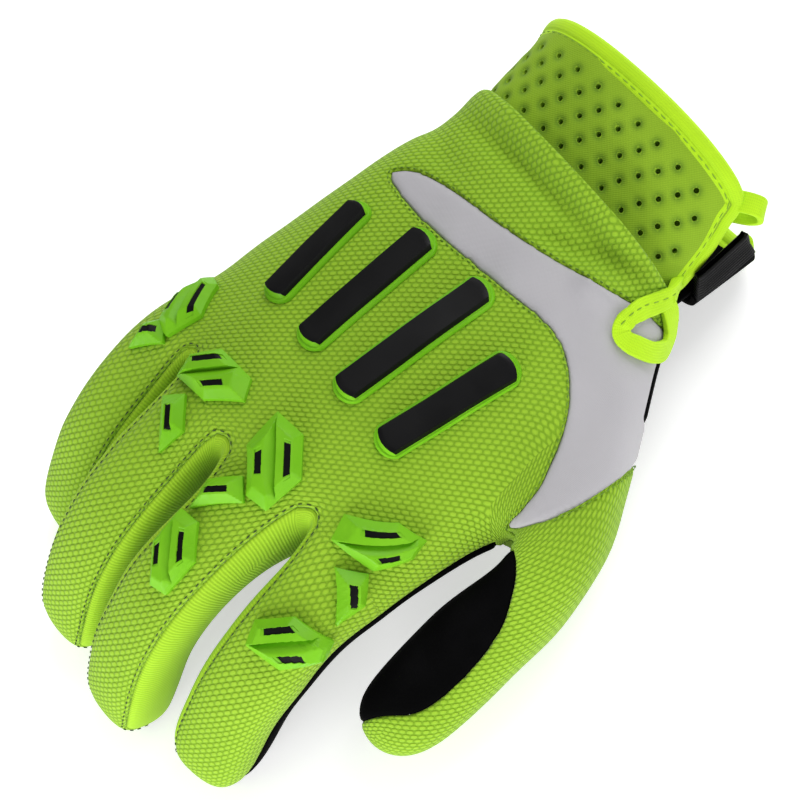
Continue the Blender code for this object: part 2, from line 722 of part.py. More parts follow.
def binding_rim():
    """Outer line of the binding round the open edge of the cuff."""
    rise = (BINDING_THICKNESS - CUFF_WALL) / 2
    pairs = [(turn, binding_along()) for turn in cuff_turns(1.0)]
    return [cuff_point(*pair) + cuff_normal(*pair) * rise for pair in pairs]


def cuff_binding(pose):
    """Folded tape round the open edge of the cuff and down the slit's upper edge."""
    beyond = binding_along()
    slope = math.atan2(math.radians(SLIT_TOP_AT_EDGE - SLIT_TOP_AT_HAND) * CUFF_WIDTH / 2, cuff_length())
    aside = math.degrees((BINDING_PLAY + BINDING_WIDTH / 2) / (math.cos(slope) * CUFF_WIDTH / 2))
    lead = slit_top(1.0) + BINDING_LEAD
    pairs = [(turn, beyond) for turn in reversed(cuff_turns(1.0)[2::2]) if turn > lead]
    pairs.append((lead, beyond))
    pairs += [(slit_top(1.0) - aside + row.turn, beyond - row.along) for row in BINDING_CORNER]
    low = (CUFF_TUCK + BINDING_START) / cuff_length()
    for k in range(1, SLIT_BANDS + 1):
        along = BINDING_JOIN + (low - BINDING_JOIN) * k / SLIT_BANDS
        pairs.append((slit_top(along) - aside, along))
    normals = [cuff_normal(*pair) for pair in pairs]
    centres = [cuff_point(*pair) - out * (CUFF_WALL / 2) for pair, out in zip(pairs, normals)]
    return tape("cuff_binding", centres, normals, BINDING_WIDTH, BINDING_THICKNESS, pose)


def pull_loop(tree, pose):
    """Tape turned back on itself, lying on the back of the hand beside the slit."""
    outward = Vector((math.sin(math.radians(PULL_TURN)), 0.0, math.cos(math.radians(PULL_TURN))))
    centres, normals = [], []
    for row in PULL_LOOP:
        far = Vector((row.across * PALM_WIDTH, row.along * PALM_LENGTH, 0.0)) + outward * PALM_WIDTH
        hit, normal = cast(tree, pose @ far, pose.to_3x3() @ -outward)
        inverse = pose.inverted()
        centres.append(inverse @ (hit + normal * (GUARD_SEAT + LOOP_TAPE_THICKNESS / 2)))
        normals.append(inverse.to_3x3() @ normal)
    return tape("pull_loop", centres, normals, LOOP_TAPE_WIDTH, LOOP_TAPE_THICKNESS, pose)


def palm_loop(pose):
    """Small tape loop standing out of the slit at the cuff's open edge."""
    centres = [Vector((row.across * PALM_WIDTH, row.along * PALM_LENGTH, row.height * PALM_THICKNESS))
               for row in PALM_LOOP]
    middle = sum(centres, Vector()) / len(centres)
    runs = [b - a for a, b in zip(centres, centres[1:])]
    flat = runs[0].cross(runs[-1]).normalized()
    normals = [flat.cross(b - a) for a, b in zip(centres, centres[1:])]
    normals.append(normals[-1])
    outward = [n if n.dot(c - middle) > 0 else -n for n, c in zip(normals, centres)]
    return tape("palm_loop", centres, outward, LOOP_TAPE_WIDTH, LOOP_TAPE_THICKNESS, pose)


def strap_rows(start, end, low, high, columns, bands):
    """Pairs of (turn, along) between two turns, with the ends of each column given as shares."""
    rows = []
    for band in range(bands + 1):
        row = []
        for k in range(columns + 1):
            share = k / columns
            first = low[0] + (low[1] - low[0]) * share
            last = high[0] + (high[1] - high[0]) * share
            row.append((start + (end - start) * share, first + (last - first) * band / bands))
        rows.append(row)
    return rows


def wrist_strap(pose):
    """Strap over the palm side of the cuff that ends at the slit."""
    high = 1.0 - STRAP_MARGIN / cuff_length()
    low = high - STRAP_WIDTH / cuff_length()
    rows = strap_rows(STRAP_START, STRAP_END, (low, low), (high, high), STRAP_COLUMNS, 1)
    surface = cuff_grid(rows, STRAP_SEAT + STRAP_THICKNESS, lambda k: "cuff_palm")
    return posed_solid("wrist_strap", surface, "cuff_palm", STRAP_THICKNESS, pose)


def strap_tab(pose):
    """Tapered end of the strap that lies over the slit."""
    high = 1.0 - STRAP_MARGIN / cuff_length()
    low = high - STRAP_WIDTH / cuff_length()
    rows = strap_rows(STRAP_END + TAB_START, STRAP_END + TAB_TURN, (low, low + TAB_TAPER_LOW),
                      (high, high - TAB_TAPER_HIGH), TAB_COLUMNS, 1)
    surface = cuff_grid(rows, STRAP_SEAT + TAB_THICKNESS, lambda k: "cuff_palm")
    return posed_solid("strap_tab", surface, "cuff_palm", TAB_THICKNESS, pose)


def cast(tree, start, direction):
    hit, normal = tree.ray_cast(start, direction)[:2]
    return hit, normal


def finger_frame(root, finger, along):
    """Centre, side, forward and up of a finger at a distance along it from its root."""
    centre, reach = root, 0.0
    drop_before, share = finger.drop, 0.0
    for row in FINGER_STATIONS:
        drop = finger.drop + finger.curl * row.bend
        length = row.along * finger.length * FINGER_LENGTH
        share = min(1.0, (along - reach) / (length - reach))
        centre = centre + heading(finger.splay, (drop + drop_before) / 2)[0] * (share * (length - reach))
        if along <= length:
            drop = drop_before + (drop - drop_before) * max(0.0, share)
            break
        reach, drop_before = length, drop
    forward, up = heading(finger.splay, drop)
    turned = min(1.0, ROLL_RATE * max(0.0, along) / (finger.length * FINGER_LENGTH))
    side, up = rolled(forward, up, finger.roll * turned)
    return centre, side, forward, up


def moulded(name, frame, tree, size, relief, pose, bow, taper, turn):
    """Moulded piece whose underside follows the cloth: a grid of places cast onto the surface."""
    centre, side, forward, up = frame
    length, width, rise, depth = size
    columns, rows = relief
    a = math.radians(turn)
    basis = pose.to_3x3()
    under = centre + up * (depth - bow)
    solid = bmesh.new()
    lower, upper = [], []
    for row in rows:
        for column in columns:
            x = column.share * length / 2 * (1 - taper * abs(row.share))
            y = row.share * width / 2
            across, along = x * math.cos(a) - y * math.sin(a), x * math.sin(a) + y * math.cos(a)
            out = side * math.sin(across / bow) + up * math.cos(across / bow)
            hit, normal = cast(tree, pose @ (under + forward * along + out * PALM_WIDTH), basis @ -out)
            height = min(row.height, column.height)
            lower.append(solid.verts.new(hit + normal * GUARD_SEAT))
            upper.append(solid.verts.new(hit + normal * (GUARD_SEAT + height * rise)))
    wide = len(columns)
    for r in range(len(rows) - 1):
        for c in range(wide - 1):
            k = r * wide + c
            corners = (k, k + 1, k + wide + 1, k + wide)
            solid.faces.new([upper[n] for n in corners])
            solid.faces.new([lower[n] for n in reversed(corners)])
    rim = list(range(wide)) + [r * wide + wide - 1 for r in range(1, len(rows))]
    rim += [len(upper) - 1 - c for c in range(1, wide)] + [r * wide for r in range(len(rows) - 2, 0, -1)]
    for here, after in zip(rim, rim[1:] + rim[:1]):
        solid.faces.new((lower[here], lower[after], upper[after], upper[here]))
    return mesh_from(name, solid)


def add_moulded(cage, tree, pose, parts, looks):
    fingers = {finger.name: finger for finger in FINGERS}
    reliefs = {"pair": (PAIR_COLUMNS, PAIR_ROWS), "single": (SINGLE_COLUMNS, SINGLE_ROWS)}
    for row in GUARDS:
        centre, side, forward, up = finger_frame(cage.roots[row.finger], fingers[row.finger], row.along)
        frame = (centre + side * row.across, side, forward, up)
        size = (row.length, row.width, GUARD_HEIGHT, FINGER_HEIGHT / 2)
        mesh = moulded(row.name, frame, tree, size, reliefs[row.kind], pose, GUARD_BOW, GUARD_TAPER, row.turn)
        add_object(row.name, mesh, parts, looks["guard"])
    for row in RIBS:
        place = Vector((row.across * PALM_WIDTH, row.along * PALM_LENGTH, 0.0))
        frame = (place, Vector((1.0, 0.0, 0.0)), Vector((0.0, -1.0, 0.0)), Vector((0.0, 0.0, 1.0)))
        size = (row.length, row.width, RIB_HEIGHT, PALM_THICKNESS / 2)
        relief = (RIB_COLUMNS, RIB_ROWS)
        mesh = moulded(row.name, frame, tree, size, relief, pose, RIB_BOW, 0.0, 90 + row.turn)
        add_object(row.name, mesh, parts, looks["rubber"])


def centre_on_floor(parts):
    """Moves all pieces so that the middle of their bounding box is over the origin."""
    places = [vert.co for piece in parts.objects for vert in piece.data.vertices]
    middle = [(min(p[axis] for p in places) + max(p[axis] for p in places)) / 2 for axis in (0, 1)]
    move = Matrix.Translation((-middle[0], -middle[1], 0.0))
    for piece in parts.objects:
        piece.data.transform(move)


def build_all():
    clear_scene()
    parts = bpy.data.collections.new("motocross_glove")
    guides = bpy.data.collections.new("guides")
    for collection in (parts, guides):
        bpy.context.scene.collection.children.link(collection)
    looks = {
        "lime": material("lime_mesh_cloth", LIME, 0.85),
        "white": material("white_stretch_cloth", WHITE, 0.8),
        "black": material("black_suede", BLACK, 0.9),
        "olive": material("green_neoprene", OLIVE, 0.8),
        "neon": material("neon_tape", NEON, 0.75),
        "guard": material("lime_rubber", GUARD_LIME, 0.45),
        "rubber": material("black_rubber", BLACK, 0.5),
    }
    cage = hand_cage()
    surface = smooth_surface(cage, guides)
    cuff = cuff_surface()
    places = [v.co.copy() for made in (surface, cuff) for v in made.verts] + binding_rim()
    turn = resting_turn(places)
    level = min((Matrix.Rotation(turn, 3, "X") @ place).z for place in places)
    pose = Matrix.Translation((0.0, 0.0, -level - FLATTENED)) @ Matrix.Rotation(turn, 4, "X")
    for made in (surface, cuff):
        made.transform(pose)
        made.normal_update()
    tree = BVHTree.FromBMesh(surface)

    cut_upper_shell(surface, pose, parts, guides, looks)
    palm = mesh_from("palm_panel", panel_solid(surface, ("palm",), WALL))
    add_object("palm_panel", palm, parts, looks["black"])
    for panel in PANELS:
        if panel.startswith("gusset"):
            add_object(panel, mesh_from(panel, panel_solid(surface, (panel,), WALL)), parts, looks["olive"])

    back = mesh_from("cuff_back", panel_solid(cuff, ("cuff_back",), CUFF_WALL))
    pierced = boolean("cuff_back", back, "DIFFERENCE", hole_cutters(pose, guides), parts, looks["olive"])
    bpy.context.view_layer.update()
    apply_modifiers(pierced)
    under = mesh_from("cuff_palm", panel_solid(cuff, ("cuff_palm",), CUFF_WALL))
    add_object("cuff_palm", under, parts, looks["black"])
    add_object("cuff_binding", cuff_binding(pose), parts, looks["neon"])
    add_object("pull_loop", pull_loop(tree, pose), parts, looks["neon"])
    add_object("palm_loop", palm_loop(pose), parts, looks["neon"])
    add_object("wrist_strap", wrist_strap(pose), parts, looks["black"])
    add_object("strap_tab", strap_tab(pose), parts, looks["rubber"])
    add_moulded(cage, tree, pose, parts, looks)
    centre_on_floor(parts)


build_all()
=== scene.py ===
# Motocross glove for the right hand, lying palm down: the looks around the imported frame.
# Everything is drawn in the hand frame (finger roots at y = 0, thumb side +X) and then posed.
import math

import bmesh
import bpy
from mathutils import Matrix, Vector, noise
from mathutils.bvhtree import BVHTree
from mathutils.kdtree import KDTree


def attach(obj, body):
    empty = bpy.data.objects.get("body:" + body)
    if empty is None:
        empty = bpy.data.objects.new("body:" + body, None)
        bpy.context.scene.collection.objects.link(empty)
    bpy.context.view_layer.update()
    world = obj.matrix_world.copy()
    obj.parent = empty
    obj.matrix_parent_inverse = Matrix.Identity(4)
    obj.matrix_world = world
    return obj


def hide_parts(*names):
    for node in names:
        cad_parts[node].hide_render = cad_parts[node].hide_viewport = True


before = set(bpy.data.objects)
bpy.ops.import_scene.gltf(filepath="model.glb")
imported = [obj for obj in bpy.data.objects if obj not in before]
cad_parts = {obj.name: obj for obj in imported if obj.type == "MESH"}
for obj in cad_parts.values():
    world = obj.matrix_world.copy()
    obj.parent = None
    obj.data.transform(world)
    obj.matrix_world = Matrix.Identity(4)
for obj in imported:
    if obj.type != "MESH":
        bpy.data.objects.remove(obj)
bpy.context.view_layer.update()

hand = {
    "turn": -9.128847,                                   # degrees about X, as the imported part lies
    "place": (-0.01226309, -0.03735972, 0.04105474),
}
handPose = Matrix.Translation(hand["place"]) @ Matrix.Rotation(math.radians(hand["turn"]), 4, "X")
looks = bpy.data.collections.new("gloveLooks")
bpy.context.scene.collection.children.link(looks)


# camera, floor and light
view = {
    "right": (0.6075, 0.74033168, -0.28770149),
    "up": (-0.6638, 0.67217045, 0.32811252),
    "back": (0.436, -0.00836027, 0.89972226),
    "looksAt": (-0.001118, 0.001834, 0.036015),
    "across": 0.18855,                                   # width of the picture at the glove
    "distance": 2.4,
    "sensor": 36.0,
    "farthest": 20.0,
}


def makeCamera():
    data = bpy.data.cameras.new("gloveCamera")
    data.sensor_width = view["sensor"]                   # in mm, as bpy counts it
    data.lens = view["sensor"] * view["distance"] / view["across"]
    data.clip_end = view["farthest"]
    camera = bpy.data.objects.new("gloveCamera", data)
    bpy.context.scene.collection.objects.link(camera)
    right, up, back = (Vector(view[key]).normalized() for key in ("right", "up", "back"))
    turn = Matrix((right, up, back)).transposed().to_4x4()
    camera.matrix_world = Matrix.Translation(Vector(view["looksAt"]) + back * view["distance"]) @ turn
    bpy.context.scene.camera = camera
    return right, up, back


# materials: a number in the node tree, so that maths reads as maths
class Value:
    def __init__(self, finish, socket):
        self.finish, self.socket = finish, socket

    def sum(self, kind, *others):
        node = self.finish.node("ShaderNodeMath", {"operation": kind}, dict(enumerate((self, *others))))
        return Value(self.finish, node.outputs[0])

    def __add__(self, other):
        return self.sum("ADD", other)

    def __sub__(self, other):
        return self.sum("SUBTRACT", other)

    def __rsub__(self, other):
        return self.finish.number(other).sum("SUBTRACT", self)

    def __mul__(self, other):
        return self.sum("MULTIPLY", other)

    def __truediv__(self, other):
        return self.sum("DIVIDE", other)

    def __rtruediv__(self, other):
        return self.finish.number(other).sum("DIVIDE", self)

    __radd__, __rmul__ = __add__, __mul__

    def part(self):
        return self.sum("FRACT")

    def whole(self):
        return self.sum("FLOOR")

    def power(self, other):
        return self.sum("POWER", other)

    def wave(self):
        return self.sum("SINE")

    def ripple(self, length):
        # 0 to 1 and back over the length
        return (self * (2 * math.pi / length)).wave() * 0.5 + 0.5

    def fade(self, low, high):
        settings = {"interpolation_type": "SMOOTHSTEP"}
        node = self.finish.node("ShaderNodeMapRange", settings, {0: self, 1: low, 2: high})
        return Value(self.finish, node.outputs[0])


class Finish:
    def __init__(self, name, roughness, **uniform):
        self.material = bpy.data.materials.new(name)
        self.material.use_nodes = True
        self.tree = self.material.node_tree
        self.shader = self.tree.nodes["Principled BSDF"]
        self.shader.inputs["Roughness"].default_value = roughness
        for key, value in uniform.items():
            self.shader.inputs[key.replace("_", " ")].default_value = value
        self.bumps = None

    def node(self, kind, settings, inputs):
        made = self.tree.nodes.new(kind)
        for key, value in settings.items():
            setattr(made, key, value)
        for key, value in inputs.items():
            self.feed(made.inputs[key], value)
        return made

    def feed(self, socket, value):
        if isinstance(value, Value):
            self.tree.links.new(value.socket, socket)
        elif hasattr(value, "is_output"):
            self.tree.links.new(value, socket)
        else:
            socket.default_value = value

    def number(self, value):
        return Value(self, self.node("ShaderNodeMath", {"operation": "ADD"}, {0: value, 1: 0.0}).outputs[0])

    def place(self):
        return self.node("ShaderNodeTexCoord", {}, {}).outputs["Object"]

    def cloth(self):
        uv = self.node("ShaderNodeUVMap", {"uv_map": "cloth"}, {}).outputs[0]
        split = self.node("ShaderNodeSeparateXYZ", {}, {0: uv})
        return Value(self, split.outputs[0]), Value(self, split.outputs[1])

    def attribute(self, name):
        return Value(self, self.node("ShaderNodeAttribute", {"attribute_name": name}, {}).outputs["Fac"])

    def noise(self, scale, detail=2.0, vector=None):
        inputs = {"Vector": vector or self.place(), "Scale": scale, "Detail": detail}
        return Value(self, self.node("ShaderNodeTexNoise", {}, inputs).outputs[0])

    def patch(self, scale, detail, low, high):
        # broad soft spots
        return self.noise(scale, detail).fade(low, high)

    def mix(self, share, first, second):
        node = self.node("ShaderNodeMix", {"data_type": "RGBA"}, {0: share})
        for socket, value in ((node.inputs[6], first), (node.inputs[7], second)):
            self.feed(socket, (*value, 1.0) if isinstance(value, tuple) else value)
        return node.outputs[2]

    def colour(self, value):
        self.feed(self.shader.inputs["Base Color"], value)

    def rough(self, value):
        self.feed(self.shader.inputs["Roughness"], value)

    def bump(self, height, distance, strength=1.0):
        inputs = {"Height": height, "Distance": distance, "Strength": strength}
        if self.bumps:
            inputs["Normal"] = self.bumps
        self.bumps = self.node("ShaderNodeBump", {}, inputs).outputs[0]
        self.feed(self.shader.inputs["Normal"], self.bumps)


meshCloth = {
    # painted shade: the ground between the raised dots is darker than the dots, for the shade in the mesh's
    # valleys
    "ground": (0.178, 0.338, 0.010),
    "dot": (0.285, 0.490, 0.020),
    "shade": (0.240, 0.430, 0.016),
    "pitch": 0.00200, "rows": 0.00128,                   # from dot to dot along a row, and from row to row
    "grain": 45.4,                                       # degrees from the width of the hand
    "dotWide": 0.47, "dotTall": 0.46, "dotSquare": (1.3, 1.2), "dotEdge": (0.05, 1.25),
    # bumps: distance in metres, strength; patches: scale, detail, low, high; threads and grains: scale, detail
    "dotBump": (0.00026, 0.9),
    "patch": (42.0, 2.0, 0.35, 0.65), "patchShare": 0.35,
    "thread": (2600.0, 1.0), "threadBump": (0.00006, 0.5), "plain": 0.80, "threadShare": 0.30,
    "roughness": 0.92, "dotGloss": 0.16,
}


def clothFinish():
    m = meshCloth
    made = Finish("limeMeshCloth", 0.82, Sheen_Weight=0.06, Sheen_Roughness=0.5, Specular_IOR_Level=0.25)
    across, along = made.cloth()
    grain = math.radians(m["grain"])
    row = (along * math.cos(grain) - across * math.sin(grain)) / m["rows"]
    column = (across * math.cos(grain) + along * math.sin(grain)) / m["pitch"]
    column = column + (row.whole() * 0.5).part()          # every other row is half a dot on
    x = (column.part() - 0.5) / m["dotWide"]
    y = (row.part() - 0.5) / m["dotTall"]
    away = (x * x).power(m["dotSquare"][0]) + (y * y).power(m["dotSquare"][1])
    dot = 1.0 - away.fade(*m["dotEdge"])
    patch = made.patch(*m["patch"])
    thread = made.noise(*m["thread"])
    base = made.mix(patch * m["patchShare"], m["dot"], m["shade"])
    # the dots lighter and the ground between them darker: painted shade in the valleys between the dots
    made.colour(made.mix(dot * (m["plain"] + thread * m["threadShare"]), m["ground"], base))
    made.bump(thread, *m["threadBump"])
    made.bump(dot, *m["dotBump"])
    made.rough(m["roughness"] - dot * m["dotGloss"])
    return made.material


whiteCloth = {
    "base": (0.410, 0.400, 0.420), "dark": (0.350, 0.340, 0.362),
    "weave": 0.00045, "weaveBump": (0.00004, 0.5), "patch": (30.0, 3.0, 0.3, 0.75), "patchShare": 0.35,
    "creases": (160.0, 3.0), "creaseBump": (0.0003, 0.35),
}


def whiteFinish():
    made = Finish("paleStretchCloth", 0.7, Sheen_Weight=0.05)
    across, along = made.cloth()
    turn = 2 * math.pi / whiteCloth["weave"]
    weave = (across * turn).wave() * (along * turn).wave()
    patch = made.patch(*whiteCloth["patch"])
    made.colour(made.mix(patch * whiteCloth["patchShare"], whiteCloth["base"], whiteCloth["dark"]))
    made.bump(weave, *whiteCloth["weaveBump"])
    made.bump(made.noise(*whiteCloth["creases"]), *whiteCloth["creaseBump"])
    return made.material


suede = {
    "base": (0.0008, 0.0008, 0.0009), "worn": (0.0030, 0.0029, 0.0032), "detail": 4.0,
    "napBump": (0.00012, 0.6), "patch": (70.0, 3.0, 0.4, 0.75), "patchShare": 0.5, "napShare": 0.3,
}


def suedeFinish(name, grain):
    made = Finish(name, 0.95, Specular_IOR_Level=0.03)
    nap = made.noise(grain, suede["detail"])
    worn = made.patch(*suede["patch"]) * suede["patchShare"] + nap * suede["napShare"]
    made.colour(made.mix(worn, suede["base"], suede["worn"]))
    made.bump(nap, *suede["napBump"])
    return made.material


neoprene = {
    # hole: painted shade, the dark green laid round each perforation for the shade in its dimple
    "base": (0.270, 0.450, 0.022), "dark": (0.180, 0.315, 0.012), "hole": (0.050, 0.130, 0.010),
    "line": 0.00062, "otherLine": 0.001054, "lineBump": (0.00009, 0.6), "lineShares": (0.7, 0.3),
    "fine": (1800.0, 2.0), "patch": (45.0, 3.0, 0.3, 0.7), "holeShadeShare": 0.95,
    "shares": (0.35, 0.35, 0.15, 0.2),                   # patch, line, other line, fine grain
}


def neopreneFinish():
    made = Finish("greenNeoprene", 0.88, Sheen_Weight=0.06, Sheen_Roughness=0.4, Specular_IOR_Level=0.2)
    across, along = made.cloth()
    twill = (across + along).ripple(neoprene["line"])
    other = (across - along).ripple(neoprene["otherLine"])
    fine = made.noise(*neoprene["fine"])
    patch = made.patch(*neoprene["patch"])
    a, b, c, d = neoprene["shares"]
    shade = made.mix(patch * a + twill * b + other * c + fine * d, neoprene["base"], neoprene["dark"])
    # painted shade: darkened round each perforation, where its dimple lies in shade
    made.colour(made.mix(made.attribute("hole") * neoprene["holeShadeShare"], shade, neoprene["hole"]))
    made.bump(twill * neoprene["lineShares"][0] + other * neoprene["lineShares"][1], *neoprene["lineBump"])
    return made.material


gussetCloth = {
    # painted shade: the rib valleys darker than the crests; painted light: both colours raised to lift the
    # shade between the fingers
    "crest": (0.340, 0.570, 0.022), "valleyShade": (0.250, 0.450, 0.015),
    "pitch": 0.00078, "ribBump": (0.00013, 0.5),
    "thread": (2200.0, 1.0), "threadBump": (0.00005, 0.4), "plain": 0.8, "threadShare": 0.2,
}


def gussetFinish():
    made = Finish("greenRibbedCloth", 0.85, Sheen_Weight=0.05, Specular_IOR_Level=0.2)
    g = gussetCloth
    rib = made.cloth()[1].ripple(g["pitch"])
    thread = made.noise(*g["thread"])
    # crests lighter, valleys darker: painted shade along the ribs
    made.colour(made.mix(rib * (g["plain"] + thread * g["threadShare"]), g["valleyShade"], g["crest"]))
    made.bump(thread, *g["threadBump"])
    made.bump(rib, *g["ribBump"])
    return made.material


neonTape = {
    "base": (0.430, 0.720, 0.008), "dark": (0.270, 0.520, 0.006), "thread": 0.00042, "rib": 0.000672,
    "weaveShare": 0.45, "patch": (90.0, 2.0, 0.35, 0.7), "patchShare": 0.2,
    "lineShares": (0.6, 0.4), "lineBump": (0.00010, 0.6),
}


def tapeFinish():
    made = Finish("neonTape", 0.72, Sheen_Weight=0.05, Specular_IOR_Level=0.25)
    n = neonTape
    across, along = made.cloth()
    weave, rib = along.ripple(n["thread"]), across.ripple(n["rib"])
    worn = weave * rib * n["weaveShare"] + made.patch(*n["patch"]) * n["patchShare"]
    made.colour(made.mix(worn, n["base"], n["dark"]))
    made.bump(weave * n["lineShares"][0] + rib * n["lineShares"][1], *n["lineBump"])
    return made.material


rubber = {
    # fresh, worn
    "lime": ((0.150, 0.430, 0.009), (0.205, 0.500, 0.018)),
    "black": ((0.0012, 0.0012, 0.0015), (0.00228, 0.00228, 0.00285)),
    "grain": (2400.0, 2.0), "grainBump": (0.00003, 0.4), "patch": (120.0, 3.0, 0.35, 0.75), "patchShare": 0.4,
    "glossier": 0.06, "duller": 0.12,
}


def rubberFinish(name, base, worn, roughness):
    made = Finish(name, roughness, Specular_IOR_Level=0.14)
    patch = made.patch(*rubber["patch"])
    made.colour(made.mix(patch * rubber["patchShare"], base, worn))
    made.bump(made.noise(*rubber["grain"]), *rubber["grainBump"])
    made.rough(roughness - rubber["glossier"] + patch * rubber["duller"])
    return made.material


threads = {
    "dark": (0.035, 0.075, 0.008), "lime": (0.14, 0.30, 0.01), "tape": (0.22, 0.42, 0.01),
    "grain": (3000.0, 1.0), "shade": 0.55,
}


def threadFinish(kind):
    made = Finish(kind + "Thread", 0.7)
    colour = threads[kind]
    made.colour(made.mix(made.noise(*threads["grain"]), colour, tuple(c * threads["shade"] for c in colour)))
    return made.material


finishes = {
    "lime": clothFinish(),
    "white": whiteFinish(),
    "suede": suedeFinish("blackSuede", 1500.0),
    "palm": suedeFinish("blackPalmCloth", 900.0),
    "neoprene": neopreneFinish(),
    "gusset": gussetFinish(),
    "tape": tapeFinish(),
    "guard": rubberFinish("limeRubber", *rubber["lime"], 0.42),
    "black": rubberFinish("blackRubber", *rubber["black"], 0.46),
    **{kind + "Thread": threadFinish(kind) for kind in ("dark", "lime", "tape")},
}
print("finishes made:", len(finishes))


# the hand: coarse surface of the glove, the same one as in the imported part
palm = {
    "length": 0.104, "width": 0.098, "thickness": 0.035, "arch": 0.0076, "wristArch": 0.3, "roundness": 2.6,
    # along, width, top, bottom, across, slant
    "sections": ((1.000, 0.79, 0.64, 0.60, -0.015, 0.00), (0.905, 0.85, 0.53, 0.58, 0.005, 0.00),
                 (0.800, 0.97, 0.55, 0.62, 0.036, 0.05), (0.587, 0.96, 0.53, 0.58, 0.010, 0.20),
                 (0.356, 1.04, 0.50, 0.50, 0.025, 0.40), (0.163, 1.01, 0.48, 0.42, 0.005, 0.75),
                 (0.000, 1.06, 0.42, 0.36, -0.022, 1.00)),
    "slant": ((-1.0, 0.145), (-0.5, 0.075), (-0.04, -0.020), (0.5, 0.030), (1.0, 0.018)),
    "columns": (0.91, 0.72, 0.53, 0.47, 0.23, -0.01, -0.07, -0.28, -0.49, -0.55, -0.72, -0.89),
    "thumbSection": 2,
    "middleColumn": 6,                                   # the cloth is measured from here round the hand
}
fingers = {
    "length": 0.086, "width": 0.0235, "height": 0.0215, "corner": 0.92, "rollRate": 4.0, "tipShare": 0.3,
    # column, length, girth, splay, roll, drop, curl
    "index": (0, 0.84, 0.99, -4, 16, 18, 40),
    "middle": (3, 0.98, 0.97, -4, 2, 4, 67),
    "ring": (6, 0.935, 0.97, -2, 0, 9, 60),
    "little": (9, 0.775, 0.86, 0, -8, 19, 44),
    # along, width, height, bend
    "stations": ((0.14, 1.00, 1.00, 0.06), (0.36, 1.02, 1.01, 0.45), (0.56, 0.97, 0.95, 0.84),
                 (0.74, 0.96, 0.92, 1.00), (0.90, 0.85, 0.80, 1.00), (1.00, 0.00, 0.00, 1.00)),
}
fingerNames = ("index", "middle", "ring", "little")
thumb = {
    "length": 0.0914, "width": 0.0250, "height": 0.0230, "clothAt": (-0.06, 0.05),
    # along, width, height, yaw, drop, turn, roll
    "stations": ((0.233, 0.96, 1.22, 49, 11, 55, 8), (0.398, 0.98, 1.12, 4, 23, 25, 14),
                 (0.581, 0.99, 1.02, -9, 22, 5, 22), (0.771, 0.98, 0.94, -4, 26, -2, 26),
                 (0.930, 0.84, 0.78, -5, 20, -5, 26), (1.020, 0.00, 0.00, -5, 18, -5, 26)),
}
shell = {"levels": 3, "wall": 0.0016, "gap": 0.0003, "seam": 0.00006}
panelNames = ("back", "palm", "thumb", "gussetIndexMiddle", "gussetMiddleRing", "gussetRingLittle")


def between(table, across):
    for (lowAcross, low), (highAcross, high) in zip(table, table[1:]):
        if across <= highAcross:
            return low + (high - low) * max(0.0, (across - lowAcross) / (highAcross - lowAcross))
    return table[-1][1]


def dome(share):
    return max(0.0, 1.0 - abs(share) ** palm["roundness"]) ** (1.0 / palm["roundness"])


def palmSection(section):
    along, width, top, bottom, across, slant = section
    half = palm["width"] * width / 2
    arch = palm["arch"] * min(1.0, palm["wristArch"] + slant)

    def point(x, height):
        y = along + slant * between(palm["slant"], x)
        return Vector((across * palm["width"] + half * x, y * palm["length"],
                       height * palm["thickness"] - arch * x ** 2))

    upper = [point(x, top * dome(x)) for x in palm["columns"]]
    lower = [point(x, -bottom * dome(x)) for x in reversed(palm["columns"])]
    return [point(1.0, 0.0)] + upper + [point(-1.0, 0.0)] + lower


def fingerSection(centre, side, up, width, height):
    corner = fingers["corner"]
    shares = ((1, 0), (corner, corner), (0, 1), (-corner, corner),
              (-1, 0), (-corner, -corner), (0, -1), (corner, -corner))
    return [centre + side * (a * width / 2) + up * (b * height / 2) for a, b in shares]


def heading(yaw, drop):
    a, b = math.radians(yaw), math.radians(drop)
    forward = Vector((math.sin(a), -math.cos(a), 0.0))
    up = Vector((0.0, 0.0, 1.0))
    return forward * math.cos(b) - up * math.sin(b), up * math.cos(b) + forward * math.sin(b)


def rolled(direction, up, roll):
    turn = Matrix.Rotation(math.radians(-roll), 3, direction)
    return turn @ up.cross(direction), turn @ up


def fingerPath(root, name):
    _, length, girth, splay, roll, drop0, curl = fingers[name]
    path = []
    centre, before, dropBefore = root, 0.0, drop0
    for along, width, height, bend in fingers["stations"]:
        drop = drop0 + curl * bend
        step = (along - before) * length * fingers["length"]
        centre = centre + heading(splay, (drop + dropBefore) / 2)[0] * step
        side, up = rolled(*heading(splay, drop), roll * min(1.0, along * fingers["rollRate"]))
        path.append((centre, side, up, girth * width * fingers["width"], girth * height * fingers["height"]))
        before, dropBefore = along, drop
    return path


def thumbPath(root):
    path = []
    centre, before = root, 0.0
    for along, width, height, yaw, drop, turn, roll in thumb["stations"]:
        centre = centre + heading(yaw, drop)[0] * ((along - before) * thumb["length"])
        side, up = rolled(*heading(turn, drop), roll)
        path.append((centre, side, up, width * thumb["width"], height * thumb["height"]))
        before = along
    return path


